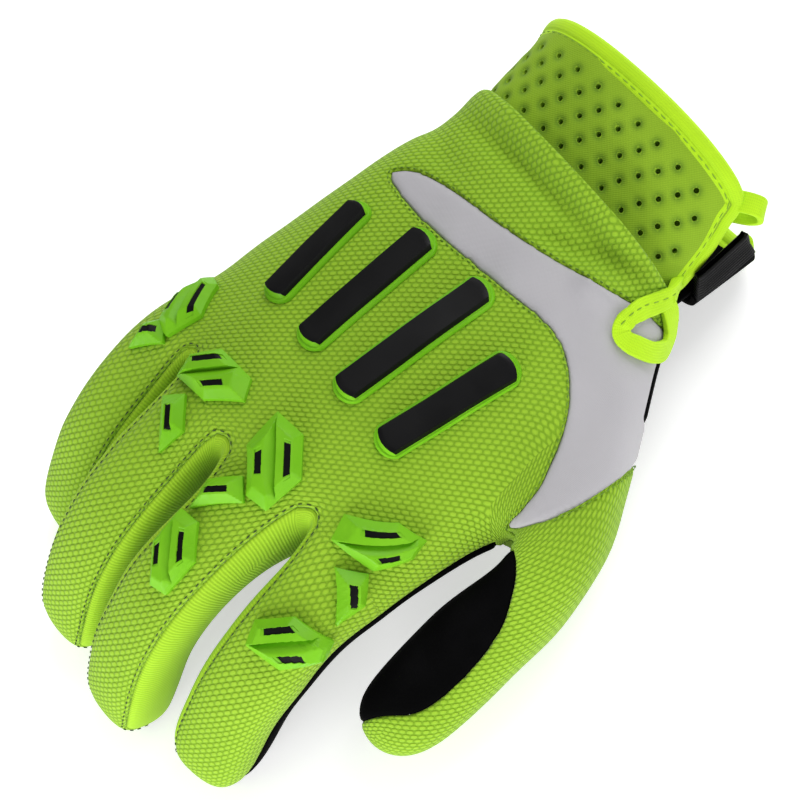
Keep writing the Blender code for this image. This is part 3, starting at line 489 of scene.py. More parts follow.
class Cage:
    # coarse points and labelled quads, each corner with its place on the flat cloth
    def __init__(self):
        self.points, self.faces, self.labels, self.flat, self.roots = [], [], [], [], {}

    def add(self, points):
        start = len(self.points)
        self.points += points
        return list(range(start, len(self.points)))

    def quad(self, corners, label, flat):
        self.faces.append(tuple(corners))
        self.labels.append(panelNames.index(label))
        self.flat.append(flat)

    def girths(self, ring, middle):
        run = [0.0]
        for k in range(len(ring)):
            run.append(run[-1] + (self.points[ring[(k + 1) % len(ring)]] - self.points[ring[k]]).length)
        return [value - run[middle] for value in run]

    def bridge(self, ring, after, labels, middle, starts, shift=0.0):
        here, there = self.girths(ring, middle), self.girths(after, middle)
        count = len(ring)
        for k, label in enumerate(labels):
            if label:
                n = (k + 1) % count
                flat = ((here[k] + shift, starts[0][k]), (here[k + 1] + shift, starts[0][n]),
                        (there[k + 1] + shift, starts[1][n]), (there[k] + shift, starts[1][k]))
                self.quad((ring[k], ring[n], after[n], after[k]), label, flat)

    def grow(self, ring, path, labels, capLabels, start, shift):
        reach = [start] * len(ring)
        for centre, side, up, width, height in path[:-1]:
            after = self.add(fingerSection(centre, side, up, width, height))
            step = sum((self.points[a] - self.points[b]).length for a, b in zip(ring, after)) / len(ring)
            further = [value + step for value in reach]
            self.bridge(ring, after, labels, 2, (reach, further), shift)
            ring, reach = after, further
        tip = self.add([path[-1][0]])[0]
        girth = self.girths(ring, 2)
        end = reach[0] + (self.points[tip] - self.points[ring[2]]).length
        for k, label in zip(range(0, len(ring), 2), capLabels):
            flat = ((girth[k] + shift, reach[0]), (girth[k + 1] + shift, reach[0]),
                    (girth[k + 2] + shift, reach[0]), (girth[k + 1] * fingers["tipShare"] + shift, end))
            self.quad((ring[k], ring[k + 1], ring[(k + 2) % len(ring)], tip), label, flat)

    def middle(self, ring):
        return sum((self.points[k] for k in ring), Vector()) / len(ring)


def handCage():
    cage = Cage()
    rings = [cage.add(palmSection(section)) for section in palm["sections"]]
    columns = len(palm["columns"])
    labels = ["back"] * (columns + 2) + ["palm"] * columns
    for k, (ring, after) in enumerate(zip(rings, rings[1:])):
        used = list(labels)
        if k in (palm["thumbSection"], palm["thumbSection"] + 1):
            used[0] = used[-1] = None
        starts = [[-cage.points[n].y for n in part] for part in (ring, after)]
        cage.bridge(ring, after, used, palm["middleColumn"], starts)

    roots = rings[-1]
    girth = cage.girths(roots, palm["middleColumn"])
    outerSide, innerSide = [roots[0]], []
    gussets = panelNames[3:]
    for gusset, name in zip(gussets, fingerNames):
        column = fingers[name][0]
        upper = (roots[column + 3], roots[column + 4])
        lower = (roots[-column - 3], roots[-column - 4])
        web = cage.add([(cage.points[a] + cage.points[b]) / 2 for a, b in zip(upper, lower)])
        deep = (cage.points[upper[0]] - cage.points[web[0]]).length
        x0, x1 = girth[column + 3], girth[column + 4]
        for (a, b), (c, d), near in ((upper, web, 0.0), (web, lower, deep)):
            flat = ((x0, near), (x1, near), (x1, near + deep), (x0, near + deep))
            cage.quad((a, b, d, c), gusset, flat)
        innerSide.append(web[0])
        outerSide.append(web[1])
    innerSide.append(roots[columns + 1])

    outerLabels, innerLabels = ("back", *gussets), (*gussets, "back")
    for k, name in enumerate(fingerNames):
        column = fingers[name][0]
        upper = [roots[column + n] for n in (1, 2, 3)]
        lower = [roots[-column - n] for n in (3, 2, 1)]
        ring = [outerSide[k]] + upper + [innerSide[k]] + lower
        outer, inner = outerLabels[k], innerLabels[k]
        under = "palm" if name == "index" else outer
        used = (outer, "back", "back", inner, inner, "palm", "palm", under)
        cage.roots[name] = cage.middle(ring)
        start = -cage.points[upper[1]].y
        cage.grow(ring, fingerPath(cage.roots[name], name), used, ("back", "back", "palm", "palm"),
                  start, girth[column + 2])

    wrist, middle, web = rings[palm["thumbSection"]:palm["thumbSection"] + 3]
    ring = [wrist[0], wrist[1], middle[1], web[1], web[0], web[-1], middle[-1], wrist[-1]]
    cage.grow(ring, thumbPath(cage.middle(ring)), ["thumb"] * 8, ["thumb"] * 4, *thumb["clothAt"])
    return cage


folds = {
    # across, along, turn, length, breadth, depth
    "rows": ((0.02, 0.925, 3, 0.62, 0.0033, -0.0026), (-0.05, 0.985, 2, 0.70, 0.0040, 0.0013),
             (0.17, 0.885, 22, 0.24, 0.0030, -0.0026), (0.31, 0.860, 8, 0.16, 0.0034, 0.0014),
             (0.28, 0.800, -25, 0.30, 0.0050, -0.0012), (0.44, 0.560, -70, 0.34, 0.0060, 0.0010),
             (-0.30, 0.830, -20, 0.26, 0.0040, -0.0009), (0.05, 0.640, 12, 0.50, 0.0080, -0.0006)),
    "waves": 0.00045, "waveSize": 0.016,
}


def foldHeight(place):
    height = 0.0
    for across, along, turn, length, breadth, depth in folds["rows"]:
        a = math.radians(turn)
        dx, dy = place.x - across * palm["width"], place.y - along * palm["length"]
        run = (dx * math.cos(a) + dy * math.sin(a)) / (length * palm["width"] / 2)
        side = (dy * math.cos(a) - dx * math.sin(a)) / breadth
        height += depth * math.exp(-run ** 4 - side ** 2)
    return height


def baked(made):
    # the mesh that an object's modifiers give
    graph = bpy.context.evaluated_depsgraph_get()
    return bpy.data.meshes.new_from_object(made.evaluated_get(graph))


def handSurface(cage):
    mesh = bpy.data.meshes.new("handCage")
    mesh.from_pydata(cage.points, [], cage.faces)
    mesh.polygons.foreach_set("material_index", cage.labels)
    uv = mesh.uv_layers.new(name="cloth")
    uv.data.foreach_set("uv", [value for flat in cage.flat for corner in flat for value in corner])
    guide = bpy.data.objects.new("handCage", mesh)
    looks.objects.link(guide)
    smooth = guide.modifiers.new("smooth", "SUBSURF")
    smooth.levels = smooth.render_levels = shell["levels"]
    made = baked(guide)
    bpy.data.objects.remove(guide, do_unlink=True)
    surface = bmesh.new()
    surface.from_mesh(made)
    bpy.data.meshes.remove(made)
    bmesh.ops.recalc_face_normals(surface, faces=surface.faces)
    surface.normal_update()
    moves = []
    for vert in surface.verts:
        height = foldHeight(vert.co) if vert.normal.z > 0 else 0.0
        height += folds["waves"] * noise.noise(vert.co / folds["waveSize"])
        moves.append((vert, vert.normal * height))
    for vert, move in moves:
        vert.co += move
    surface.normal_update()
    return surface


# seams: outlines in the seam plane, which leans towards the thumb
seams = {
    "tilt": 28.0,
    "white": ((-0.345, 0.690), (-0.330, 0.735), (-0.255, 0.765), (-0.090, 0.795), (0.065, 0.840),
              (0.195, 0.885), (0.300, 0.925), (0.450, 0.950), (0.900, 0.950), (0.900, 0.700), (0.585, 0.800),
              (0.560, 0.640), (0.535, 0.480), (0.482, 0.362), (0.450, 0.480), (0.375, 0.610), (0.290, 0.685),
              (0.185, 0.722), (0.020, 0.700), (-0.190, 0.675)),
    "whiteLow": -0.015,
    "inner": ((0.522, 0.335), (0.550, 0.328), (0.605, 0.285), (0.670, 0.200), (0.705, 0.075),
              (0.705, -0.035), (0.650, -0.120), (0.600, -0.260), (0.560, -0.260), (0.545, -0.100),
              (0.526, 0.120), (0.522, 0.300)),
    "outer": ((0.482, 0.360), (0.540, 0.480), (0.565, 0.640), (0.590, 0.810), (0.900, 0.700), (1.000, 0.200),
              (0.800, -0.300), (0.600, -0.260), (0.560, 0.000), (0.522, 0.335)),
    "rounding": 6,                                       # points to each stretch of an outline
    "snap": 0.12,                                        # a cut this near a corner goes through the corner
    "roll": ((0.0, 0.00062), (0.0006, 0.00020), (0.0016, 0.0)),   # distance from a seam, how far it dips
}


def rounded(points, closed=True):
    count = len(points)
    made = []
    for k in range(count if closed else count - 1):
        near = [(k + n) % count if closed else min(max(k + n, 0), count - 1) for n in (-1, 0, 1, 2)]
        a, b, c, d = (Vector(points[n]) for n in near)
        for step in range(seams["rounding"]):
            t = step / seams["rounding"]
            made.append(0.5 * ((2 * b) + (c - a) * t + (2 * a - 5 * b + 4 * c - d) * t * t
                               + (3 * b - a - 3 * c + d) * t ** 3))
    if not closed:
        made.append(Vector(points[-1]))
    return made


def outlineDistance(outline, x, y):
    # negative inside the outline
    nearest, inside = 1e9, False
    count = len(outline)
    for k in range(count):
        ax, ay = outline[k - 1]
        bx, by = outline[k]
        dx, dy = bx - ax, by - ay
        share = min(1.0, max(0.0, ((x - ax) * dx + (y - ay) * dy) / (dx * dx + dy * dy)))
        nearest = min(nearest, math.hypot(x - ax - dx * share, y - ay - dy * share))
        if (ay > y) != (by > y) and x < ax + dx * (y - ay) / dy:
            inside = not inside
    return -nearest if inside else nearest


def splitFace(face, values):
    # splits a face along zero corners until no piece has both signs; returns the new pieces
    ring = list(face.verts)
    signs = [0 if values[vert] == 0.0 else math.copysign(1, values[vert]) for vert in ring]
    if 1 not in signs or -1 not in signs:
        return []
    zeros = [k for k, sign in enumerate(signs) if sign == 0]
    for i in zeros:
        for j in zeros:
            inner, outer = signs[i + 1:j], signs[j + 1:] + signs[:i]
            if j > i and len(set(inner) - {0}) == 1 and set(outer) - {0}:
                made = bmesh.utils.face_split(face, ring[i], ring[j])[0]
                return [made] + splitFace(made, values) + splitFace(face, values)
    return []


def cutAlong(faces, field):
    # new edges where the field is zero, in the given faces; returns the faces with their pieces
    values = {}
    for face in faces:
        for vert in face.verts:
            if vert not in values:
                values[vert] = field(vert.co)
    edges = list(dict.fromkeys(edge for face in faces for edge in face.edges))
    for edge in edges:
        a, b = edge.verts
        if values[a] * values[b] < 0.0:
            share = values[a] / (values[a] - values[b])
            if share < seams["snap"]:
                values[a] = 0.0
            elif share > 1 - seams["snap"]:
                values[b] = 0.0
    for edge in edges:
        a, b = edge.verts
        if values[a] * values[b] < 0.0:
            made = bmesh.utils.edge_split(edge, a, values[a] / (values[a] - values[b]))[1]
            values[made] = 0.0
    every = dict.fromkeys(faces)
    for face in list(faces):
        for made in splitFace(face, values):
            every[made] = None
    return list(every), values


cutPanels = {"white": "whitePanel", "inner": "thumbInner", "outer": "thumbOuter"}


def cutSeams(surface):
    # labels every face with its panel, cutting the upper shell along the outlines
    tilt = math.radians(seams["tilt"])
    scale = (palm["width"], palm["length"])
    label = {face: panelNames[face.material_index] for face in surface.faces}
    upper = [face for face in surface.faces if label[face] in ("back", "thumb")]
    for name, panel in cutPanels.items():
        outline = [(p.x * scale[0], p.y * scale[1]) for p in rounded(seams[name])]

        def field(place):
            distance = outlineDistance(outline, place.x * math.cos(tilt) - place.z * math.sin(tilt), place.y)
            if name == "white":
                height = place.x * math.sin(tilt) + place.z * math.cos(tilt)
                distance = max(distance, seams["whiteLow"] - height)
            return distance

        pieces, values = cutAlong(upper, field)
        inside = {face for face in pieces if sum(values[vert] for vert in face.verts) < 0.0}
        for face in pieces:
            label[face] = panel if face in inside else "back"
        upper = [face for face in pieces if face not in inside]
    return label


def seamPull(vert, faces):
    pulls = []
    for face in vert.link_faces:
        if face in faces:
            for loop in face.loops:
                if vert in loop.edge.verts and sum(f in faces for f in loop.edge.link_faces) == 1:
                    run = loop.link_loop_next.vert.co - loop.vert.co
                    pulls.append(vert.normal.cross(run).normalized())
    if len(pulls) < 2:
        return sum(pulls, Vector())
    return sum(pulls, Vector()) / (1 + max(0.0, pulls[0].dot(pulls[1])))


def panelSheet(surface, label, name):
    # one panel as an open sheet, drawn back from its seams and with its edges rolled down
    faces = sorted((face for face in surface.faces if label[face] == name), key=lambda face: face.index)
    kept = set(faces)
    uvFrom = surface.loops.layers.uv["cloth"]
    sheet = bmesh.new()
    uvTo = sheet.loops.layers.uv.new("cloth")
    made = {}
    for face in faces:
        for vert in face.verts:
            if vert not in made:
                made[vert] = sheet.verts.new(vert.co + seamPull(vert, kept) * (shell["seam"] / 2))
    for face in faces:
        new = sheet.faces.new([made[vert] for vert in face.verts])
        for loop, source in zip(new.loops, face.loops):
            loop[uvTo].uv = source[uvFrom].uv
    sheet.normal_update()
    places = []
    for edge in sheet.edges:
        if edge.is_boundary:
            a, b = (vert.co for vert in edge.verts)
            places += [a.lerp(b, step / 4) for step in range(5)]
    tree = KDTree(len(places))
    for k, place in enumerate(places):
        tree.insert(place, k)
    tree.balance()
    for distance, _ in seams["roll"][1:]:
        near = [face for face in sheet.faces if min(tree.find(v.co)[2] for v in face.verts) < distance * 2]
        cutAlong(near, lambda place: tree.find(place)[2] - distance)
    sheet.normal_update()
    moves = [(vert, vert.normal * -between(seams["roll"], tree.find(vert.co)[2])) for vert in sheet.verts]
    for vert, move in moves:
        vert.co += move
    return sheet


def flatten(mesh):
    for vert in mesh.vertices:
        vert.co.z = max(vert.co.z, 0.0)


def finishMesh(name, mesh, materials, thickness=None, sharp=None, posed=True):
    # bmesh in the hand frame to a posed object, closed by a Solidify where it is a sheet
    # and flattened where it rests
    data = bpy.data.meshes.new(name)
    mesh.to_mesh(data)
    mesh.free()
    for material in materials:
        data.materials.append(material)
    if posed:
        data.transform(handPose)
    data.shade_smooth()
    if sharp:
        data.set_sharp_from_angle(angle=math.radians(sharp))
    made = bpy.data.objects.new(name, data)
    looks.objects.link(made)
    if thickness:
        wall = made.modifiers.new("wall", "SOLIDIFY")
        wall.thickness = thickness
        wall.offset = -1.0
        closed = baked(made)
        made.modifiers.clear()
        made.data = closed
    flatten(made.data)
    return made


pieces = {
    # piece: label, finish, nodes it stands for, material slot
    "backCloth": ("back", "lime", ("back_panel",), "lime_cloth"),
    "whiteCloth": ("whitePanel", "white", ("white_panel",), "white_cloth"),
    "thumbSuede": ("thumbInner", "suede", ("thumb_inner",), "black_suede"),
    "thumbCloth": ("thumbOuter", "lime", ("thumb_outer",), "lime_cloth"),
    "palmCloth": ("palm", "palm", ("palm_panel",), "black_suede"),
    "gussetIndexMiddleCloth": ("gussetIndexMiddle", "gusset", ("gusset_index_middle",), "green_neoprene"),
    "gussetMiddleRingCloth": ("gussetMiddleRing", "gusset", ("gusset_middle_ring",), "green_neoprene"),
    "gussetRingLittleCloth": ("gussetRingLittle", "gusset", ("gusset_ring_little",), "green_neoprene"),
}


flatCut = 0.75                                           # a sheet's area as a share of its own rectangle


def declareSheet(made):
    area = sum(face.area for face in made.data.polygons) / 2
    length = max(made.dimensions)
    flat = (round(area / flatCut / length, 4), round(length, 4))
    print("sheet", made.name, len(made.data.polygons), "faces", round(area * 1e4, 1), "cm2")


def settle(made, nodes, slotName):
    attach(made, "root")
    if nodes:
        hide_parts(*nodes)


def dressPanels(surface, label):
    for name, (panel, finish, nodes, slotName) in pieces.items():
        sheet = panelSheet(surface, label, panel)
        made = finishMesh(name, sheet, [finishes[finish]], thickness=shell["wall"])
        settle(made, nodes, slotName)
        declareSheet(made)


right, up, back = makeCamera()
cage = handCage()
surface = handSurface(cage)
tree = BVHTree.FromBMesh(surface)
label = cutSeams(surface)
surface.normal_update()
surface.faces.index_update()
print("hand surface:", len(surface.faces), "faces")
dressPanels(surface, label)


def alongAt(places, k):
    return places[min(k + 1, len(places) - 1)] - places[max(k - 1, 0)]


# lines along the seams, for the stitches
def seamLine(surface, label, first, second, aside):
    # the seam between two panels, moved onto the first one, as runs of places on the cloth
    steps = {}
    for edge in surface.edges:
        names = [label[face] for face in edge.link_faces]
        if sorted(names) == sorted((first, second)):
            face = next(face for face in edge.link_faces if label[face] == first)
            loop = next(loop for loop in face.loops if loop.edge == edge)
            steps[loop.vert] = loop.link_loop_next.vert
    starts = [vert for vert in steps if vert not in set(steps.values())] or list(steps)[:1]
    runs = []
    for vert in sorted(starts, key=lambda v: (round(v.co.x, 5), round(v.co.y, 5))):
        chain = [vert]
        while chain[-1] in steps and steps[chain[-1]] is not chain[0] and len(chain) < 5000:
            chain.append(steps[chain[-1]])
        places = []
        for k, here in enumerate(chain):
            run = alongAt([vert.co for vert in chain], k)
            inward = here.normal.cross(run).normalized()
            hit, normal = tree.find_nearest(here.co + inward * aside)[:2]
            places.append(hit + normal * stitches["lift"])
        runs.append(places)
    return runs


def nodeMaker(tree, inputs):
    # gives the tree its named inputs, and returns a way to add nodes to it
    for name, kind in {"Geometry": "Geometry", **inputs}.items():
        tree.interface.new_socket(name, in_out="INPUT", socket_type="NodeSocket" + kind)
    tree.interface.new_socket("Geometry", in_out="OUTPUT", socket_type="NodeSocketGeometry")

    def make(kind, settings, inputs):
        made = tree.nodes.new(kind)
        for key, value in settings.items():
            setattr(made, key, value)
        for key, value in inputs.items():
            if hasattr(value, "is_output"):
                tree.links.new(value, made.inputs[key])
            else:
                made.inputs[key].default_value = value
        return made

    return make


def stitchTree():
    tree = bpy.data.node_groups.new("stitchRow", "GeometryNodeTree")
    make = nodeMaker(tree, {"Pitch": "Float", "Length": "Float", "Thickness": "Float", "Finish": "Material"})
    given = make("NodeGroupInput", {}, {})
    line = make("GeometryNodeMeshToCurve", {}, {"Mesh": given.outputs["Geometry"]})
    even = make("GeometryNodeResampleCurve", {"mode": "LENGTH"},
                {"Curve": line.outputs[0], "Length": given.outputs["Pitch"]})
    ball = make("GeometryNodeMeshUVSphere", {}, {"Segments": 8, "Rings": 6, "Radius": 0.5})
    thick = given.outputs["Thickness"]
    size = make("ShaderNodeCombineXYZ", {}, {"X": given.outputs["Length"], "Y": thick, "Z": thick})
    stitch = make("GeometryNodeTransform", {}, {"Geometry": ball.outputs[0], "Scale": size.outputs[0]})
    tangent = make("GeometryNodeInputTangent", {}, {})
    turn = make("FunctionNodeAlignRotationToVector", {"axis": "X"}, {"Vector": tangent.outputs[0]})
    row = make("GeometryNodeInstanceOnPoints", {},
               {"Points": even.outputs[0], "Instance": stitch.outputs[0], "Rotation": turn.outputs[0]})
    real = make("GeometryNodeRealizeInstances", {}, {"Geometry": row.outputs[0]})
    dyed = make("GeometryNodeSetMaterial", {},
                {"Geometry": real.outputs[0], "Material": given.outputs["Finish"]})
    make("NodeGroupOutput", {}, {0: dyed.outputs[0]})
    return tree


def pinTree():
    tree = bpy.data.node_groups.new("perforations", "GeometryNodeTree")
    make = nodeMaker(tree, {"Diameter": "Float", "Depth": "Float"})
    given = make("NodeGroupInput", {}, {})
    facing = make("GeometryNodeInputNamedAttribute", {"data_type": "FLOAT_VECTOR"}, {"Name": "facing"})
    turn = make("FunctionNodeAlignRotationToVector", {"axis": "Z"}, {"Vector": facing.outputs[0]})
    half = make("ShaderNodeMath", {"operation": "DIVIDE"}, {0: given.outputs["Diameter"], 1: 2.0})
    pin = make("GeometryNodeMeshCylinder", {},
               {"Vertices": 20, "Radius": half.outputs[0], "Depth": given.outputs["Depth"]})
    row = make("GeometryNodeInstanceOnPoints", {},
               {"Points": given.outputs["Geometry"], "Instance": pin.outputs[0], "Rotation": turn.outputs[0]})
    real = make("GeometryNodeRealizeInstances", {}, {"Geometry": row.outputs[0]})
    make("NodeGroupOutput", {}, {0: real.outputs[0]})
    return tree


def grow(name, mesh, tree, values):
    # runs a Geometry Nodes tree on a mesh and returns what it makes as a plain mesh
    guide = bpy.data.objects.new(name, mesh)
    looks.objects.link(guide)
    modifier = guide.modifiers.new(name, "NODES")
    modifier.node_group = tree
    for item in tree.interface.items_tree:
        if item.in_out == "INPUT" and item.name in values:
            modifier[item.identifier] = values[item.name]
    guide.update_tag()
    made = baked(guide)
    bpy.data.objects.remove(guide, do_unlink=True)
    return made


stitches = {
    # pitch, length, thickness
    "fork": (0.0021, 0.0012, 0.00032), "white": (0.0018, 0.0010, 0.00034), "tape": (0.0027, 0.0019, 0.00034),
    "aside": 0.0010, "whiteAside": 0.0006, "tapeAside": 0.0005, "tapeCount": 30, "lift": 0.00005,
}
stitchRow = stitchTree()


def stitchPiece(name, runs, finish, slotName, kind):
    mesh = bpy.data.meshes.new(name)
    places, edges = [], []
    for run in runs:
        edges += [(len(places) + k, len(places) + k + 1) for k in range(len(run) - 1)]
        places += [handPose @ place for place in run]
    mesh.from_pydata(places, edges, [])
    pitch, length, thickness = stitches[kind]
    values = {"Pitch": pitch, "Length": length, "Thickness": thickness, "Finish": finish}
    made = grow(name, mesh, stitchRow, values)
    flatten(made)
    made.shade_smooth()
    piece = bpy.data.objects.new(name, made)
    if finish.name not in made.materials:
        made.materials.append(finish)
    looks.objects.link(piece)
    settle(piece, (), slotName)
    print("stitches", name, len(made.polygons))


# moulded pieces: a fine grid of places cast onto the cloth, raised by a profile
guards = {
    "height": 0.0034, "bow": 0.017, "seat": 0.0001, "bevel": 0.0019, "foot": 0.36, "endSlope": 0.62,
    "thinnest": 0.0006, "step": 0.00005, "slack": 1.001, "columns": 40, "bevelRows": 6,
    "groove": 0.0021, "grooveDepth": 0.0018, "grooveReach": 0.46, "groovePower": 1.2, "wallAt": -0.0007,
    "grooveRows": (0.0009, 0.0012, 0.0015, 0.0018, 0.0021),
    "tips": (0.0014, 0.0008), "skew": 0.22, "taper": 0.60,
    "barDepth": 0.0003, "barHalf": 0.00074, "barAt": 0.00320, "longBar": 0.0038, "shortBar": 0.0027,
    "singleBar": 0.0029, "singleLean": 0.0009, "singleCut": 0.36,
    # node, finger, along, across, turn, length, width, kind
    "rows": (
        ("guard_index_knuckle", "index", -0.0130, 0.0041, -52, 0.0212, 0.0123, "pair"),
        ("guard_index_middle", "index", 0.0010, 0.0080, 43, 0.0135, 0.0062, "right"),
        ("guard_index_joint", "index", 0.0177, 0.0035, -52, 0.0208, 0.0120, "pair"),
        ("guard_middle_knuckle", "middle", -0.0059, 0.0000, 43, 0.0208, 0.0123, "pair"),
        ("guard_middle_middle", "middle", 0.0083, -0.0047, -52, 0.0135, 0.0060, "left"),
        ("guard_middle_joint", "middle", 0.0224, -0.0014, 43, 0.0205, 0.0120, "pair"),
        ("guard_ring_knuckle", "ring", -0.0075, -0.0019, -52, 0.0178, 0.0122, "pair"),
        ("guard_ring_middle", "ring", 0.0066, 0.0005, 43, 0.0135, 0.0060, "right"),
        ("guard_little_knuckle", "little", -0.0085, 0.0001, 60, 0.0170, 0.0110, "pair"),
        ("guard_little_middle", "little", 0.0030, -0.0020, -45, 0.0105, 0.0058, "left"),
    ),
}
ribs = {
    "height": 0.0028, "bow": 0.070, "edge": 0.0009, "bevel": 0.0006, "edgeHeight": 0.0012,
    "edgeRound": 0.0004, "edgeFoot": 0.4, "bevelFoot": 0.15, "endRound": 0.9, "endReach": 0.98,
    "lines": (0.0, 0.3, 0.55), "steps": (0.0, 0.2, 0.4, 0.6, 0.75, 0.85, 0.90),
    # node, across, along, turn, length, width
    "rows": (
        ("rib_index", 0.270, 0.430, 8, 0.040, 0.0095), ("rib_middle", 0.090, 0.470, 3, 0.046, 0.0095),
        ("rib_ring", -0.095, 0.470, -2, 0.042, 0.0095), ("rib_little", -0.270, 0.450, -8, 0.034, 0.0085),
    ),
}


def mirrored(shares):
    return sorted({round(sign * share, 5) for share in shares for sign in (-1, 1)})


def fingerFrame(name, along):
    _, length, _, splay, roll, drop0, curl = fingers[name]
    centre, reach, dropBefore = cage.roots[name], 0.0, drop0
    for station, _, _, bend in fingers["stations"]:
        drop = drop0 + curl * bend
        far = station * length * fingers["length"]
        share = min(1.0, (along - reach) / (far - reach))
        centre = centre + heading(splay, (drop + dropBefore) / 2)[0] * (share * (far - reach))
        if along <= far:
            drop = dropBefore + (drop - dropBefore) * max(0.0, share)
            break
        reach, dropBefore = far, drop
    forward, up = heading(splay, drop)
    turned = min(1.0, fingers["rollRate"] * max(0.0, along) / (length * fingers["length"]))
    side, up = rolled(forward, up, roll * turned)
    return centre, side, forward, up


def rubberName(node):
    first, *others = node.split("_")
    return first + "".join(word.capitalize() for word in others) + "Rubber"


def mouldedPiece(spot, columns, rows, reach, profile, bow, depth, turn):
    # reach(y) gives the ends of a row, profile(x, y) the height and the finish; x and y in metres
    centre, side, forward, up = spot
    a = math.radians(turn)
    under = centre + up * (depth - bow)
    solid = bmesh.new()
    lower, upper, shades = [], [], []
    for y in rows:
        low, high = reach(y)
        for share in columns:
            x = low + (high - low) * (share + 1) / 2
            height, shade = profile(x, y, x - low, high - x)
            across, along = x * math.cos(a) - y * math.sin(a), x * math.sin(a) + y * math.cos(a)
            out = side * math.sin(across / bow) + up * math.cos(across / bow)
            hit, normal = tree.ray_cast(under + forward * along + out * palm["width"], -out)[:2]
            lower.append(solid.verts.new(hit + normal * guards["seat"]))
            upper.append(solid.verts.new(hit + normal * (guards["seat"] + height)))
            shades.append(shade)
    wide = len(columns)
    for r in range(len(rows) - 1):
        for c in range(wide - 1):
            k = r * wide + c
            corners = (k, k + 1, k + wide + 1, k + wide)
            face = solid.faces.new([upper[n] for n in corners])
            face.material_index = 1 if all(shades[n] for n in corners) else 0
            solid.faces.new([lower[n] for n in reversed(corners)])
    rim = list(range(wide)) + [r * wide + wide - 1 for r in range(1, len(rows))]
    rim += [len(upper) - 1 - c for c in range(1, wide)] + [r * wide for r in range(len(rows) - 2, 0, -1)]
    for here, after in zip(rim, rim[1:] + rim[:1]):
        solid.faces.new((lower[here], lower[after], upper[after], upper[here]))
    bmesh.ops.recalc_face_normals(solid, faces=solid.faces)
    return solid


def guardProfile(kind, length, width):
    g = guards
    half = width / 2

    def profile(x, y, fromLow, fromHigh):
        edge = min(fromLow * g["endSlope"], fromHigh * g["endSlope"], half - abs(y))
        height = g["height"] * (g["foot"] + (1 - g["foot"]) * min(1.0, edge / g["bevel"]))
        if kind == "pair":
            bar = g["shortBar"] if y > 0 else g["longBar"]
            inBar = abs(abs(y) - g["barAt"]) <= g["barHalf"] * g["slack"] and abs(x - g["skew"] * y) <= bar
            lens = g["groove"] * (1 - (x / (length * g["grooveReach"])) ** 2)
            if g["wallAt"] < y < lens:
                share = (y - g["wallAt"]) / (lens - g["wallAt"])
                height = min(height, g["height"] - g["grooveDepth"] * (1 - share) ** g["groovePower"])
        else:
            lean = g["singleLean"] if kind == "right" else -g["singleLean"]
            inBar = abs(y) <= g["barHalf"] * g["slack"] and abs(x + lean) <= g["singleBar"]
        return max(height - (g["barDepth"] if inBar else 0.0), g["thinnest"]), inBar

    return profile


def addGuards():
    g = guards
    for node, finger, along, across, turn, length, width, kind in g["rows"]:
        centre, side, forward, up = fingerFrame(finger, along)
        half = width / 2
        if kind == "pair":
            inner, outer = g["barAt"] - g["barHalf"], g["barAt"] + g["barHalf"]
            lines = [0.0, 0.0003, -g["wallAt"] - 0.00006, -g["wallAt"], *g["grooveRows"],
                     inner - g["step"], inner, outer, outer + g["step"]]

            def reach(y):
                low, high = (length / 2 * (1 - g["taper"] * abs(y - tip) / (half + abs(tip)))
                             for tip in (-g["tips"][1], g["tips"][0]))
                return g["skew"] * y - low, g["skew"] * y + high
        else:
            outer = g["barHalf"]
            lines = [0.0, outer * 0.5, outer, outer + g["step"]]

            def reach(y):
                cut = length * g["singleCut"] * (half - y) / width
                left, right = (cut if kind == end else 0.0 for end in ("left", "right"))
                return left - length / 2, length / 2 - right

        count = g["bevelRows"]
        lines += [half + (outer + 2 * g["step"] - half) * k / count for k in range(count)]
        columns = [k / g["columns"] for k in range(-g["columns"], g["columns"] + 1)]
        solid = mouldedPiece((centre + side * across, side, forward, up), columns, mirrored(lines), reach,
                             guardProfile(kind, length, width), g["bow"], fingers["height"] / 2, turn)
        made = finishMesh(rubberName(node), solid, [finishes["guard"], finishes["black"]], sharp=24)
        settle(made, (node,), "lime_rubber")


def addRibs():
    r = ribs
    for node, across, along, turn, length, width in r["rows"]:
        half, step = width / 2, guards["step"]

        def reach(y):
            end = math.sqrt(max(0.0, half ** 2 - (y * r["endReach"]) ** 2)) * r["endRound"]
            return half - length / 2 - end, length / 2 - half + end

        def profile(x, y, fromLow, fromHigh):
            edge = min(fromLow, fromHigh, half - abs(y))
            if edge < r["edge"] - 1e-6:
                foot = r["edgeFoot"]
                return r["edgeHeight"] * (foot + (1 - foot) * min(1.0, edge / r["edgeRound"])), False
            foot, rise = r["bevelFoot"], min(1.0, (edge - r["edge"]) / r["bevel"])
            return r["edgeHeight"] + (r["height"] - r["edgeHeight"]) * (foot + (1 - foot) * rise), True

        inner = (r["edge"] + r["bevel"], r["edge"], r["edge"] - step, r["edgeRound"])
        lines = [half * share for share in r["lines"]] + [half - away for away in (*inner, 2 * step, 0.0)]
        steps = [*r["steps"]] + [1 - away * 2 / length for away in (*inner, 0.0)]
        spot = (Vector((across * palm["width"], along * palm["length"], 0.0)), Vector((1, 0, 0)),
                Vector((0, -1, 0)), Vector((0, 0, 1)))
        solid = mouldedPiece(spot, mirrored(steps), mirrored(lines), reach, profile, r["bow"],
                             palm["thickness"] / 2, 90 + turn)
        made = finishMesh(rubberName(node), solid, [finishes["guard"], finishes["black"]], sharp=35)
        settle(made, (node,), "black_rubber")


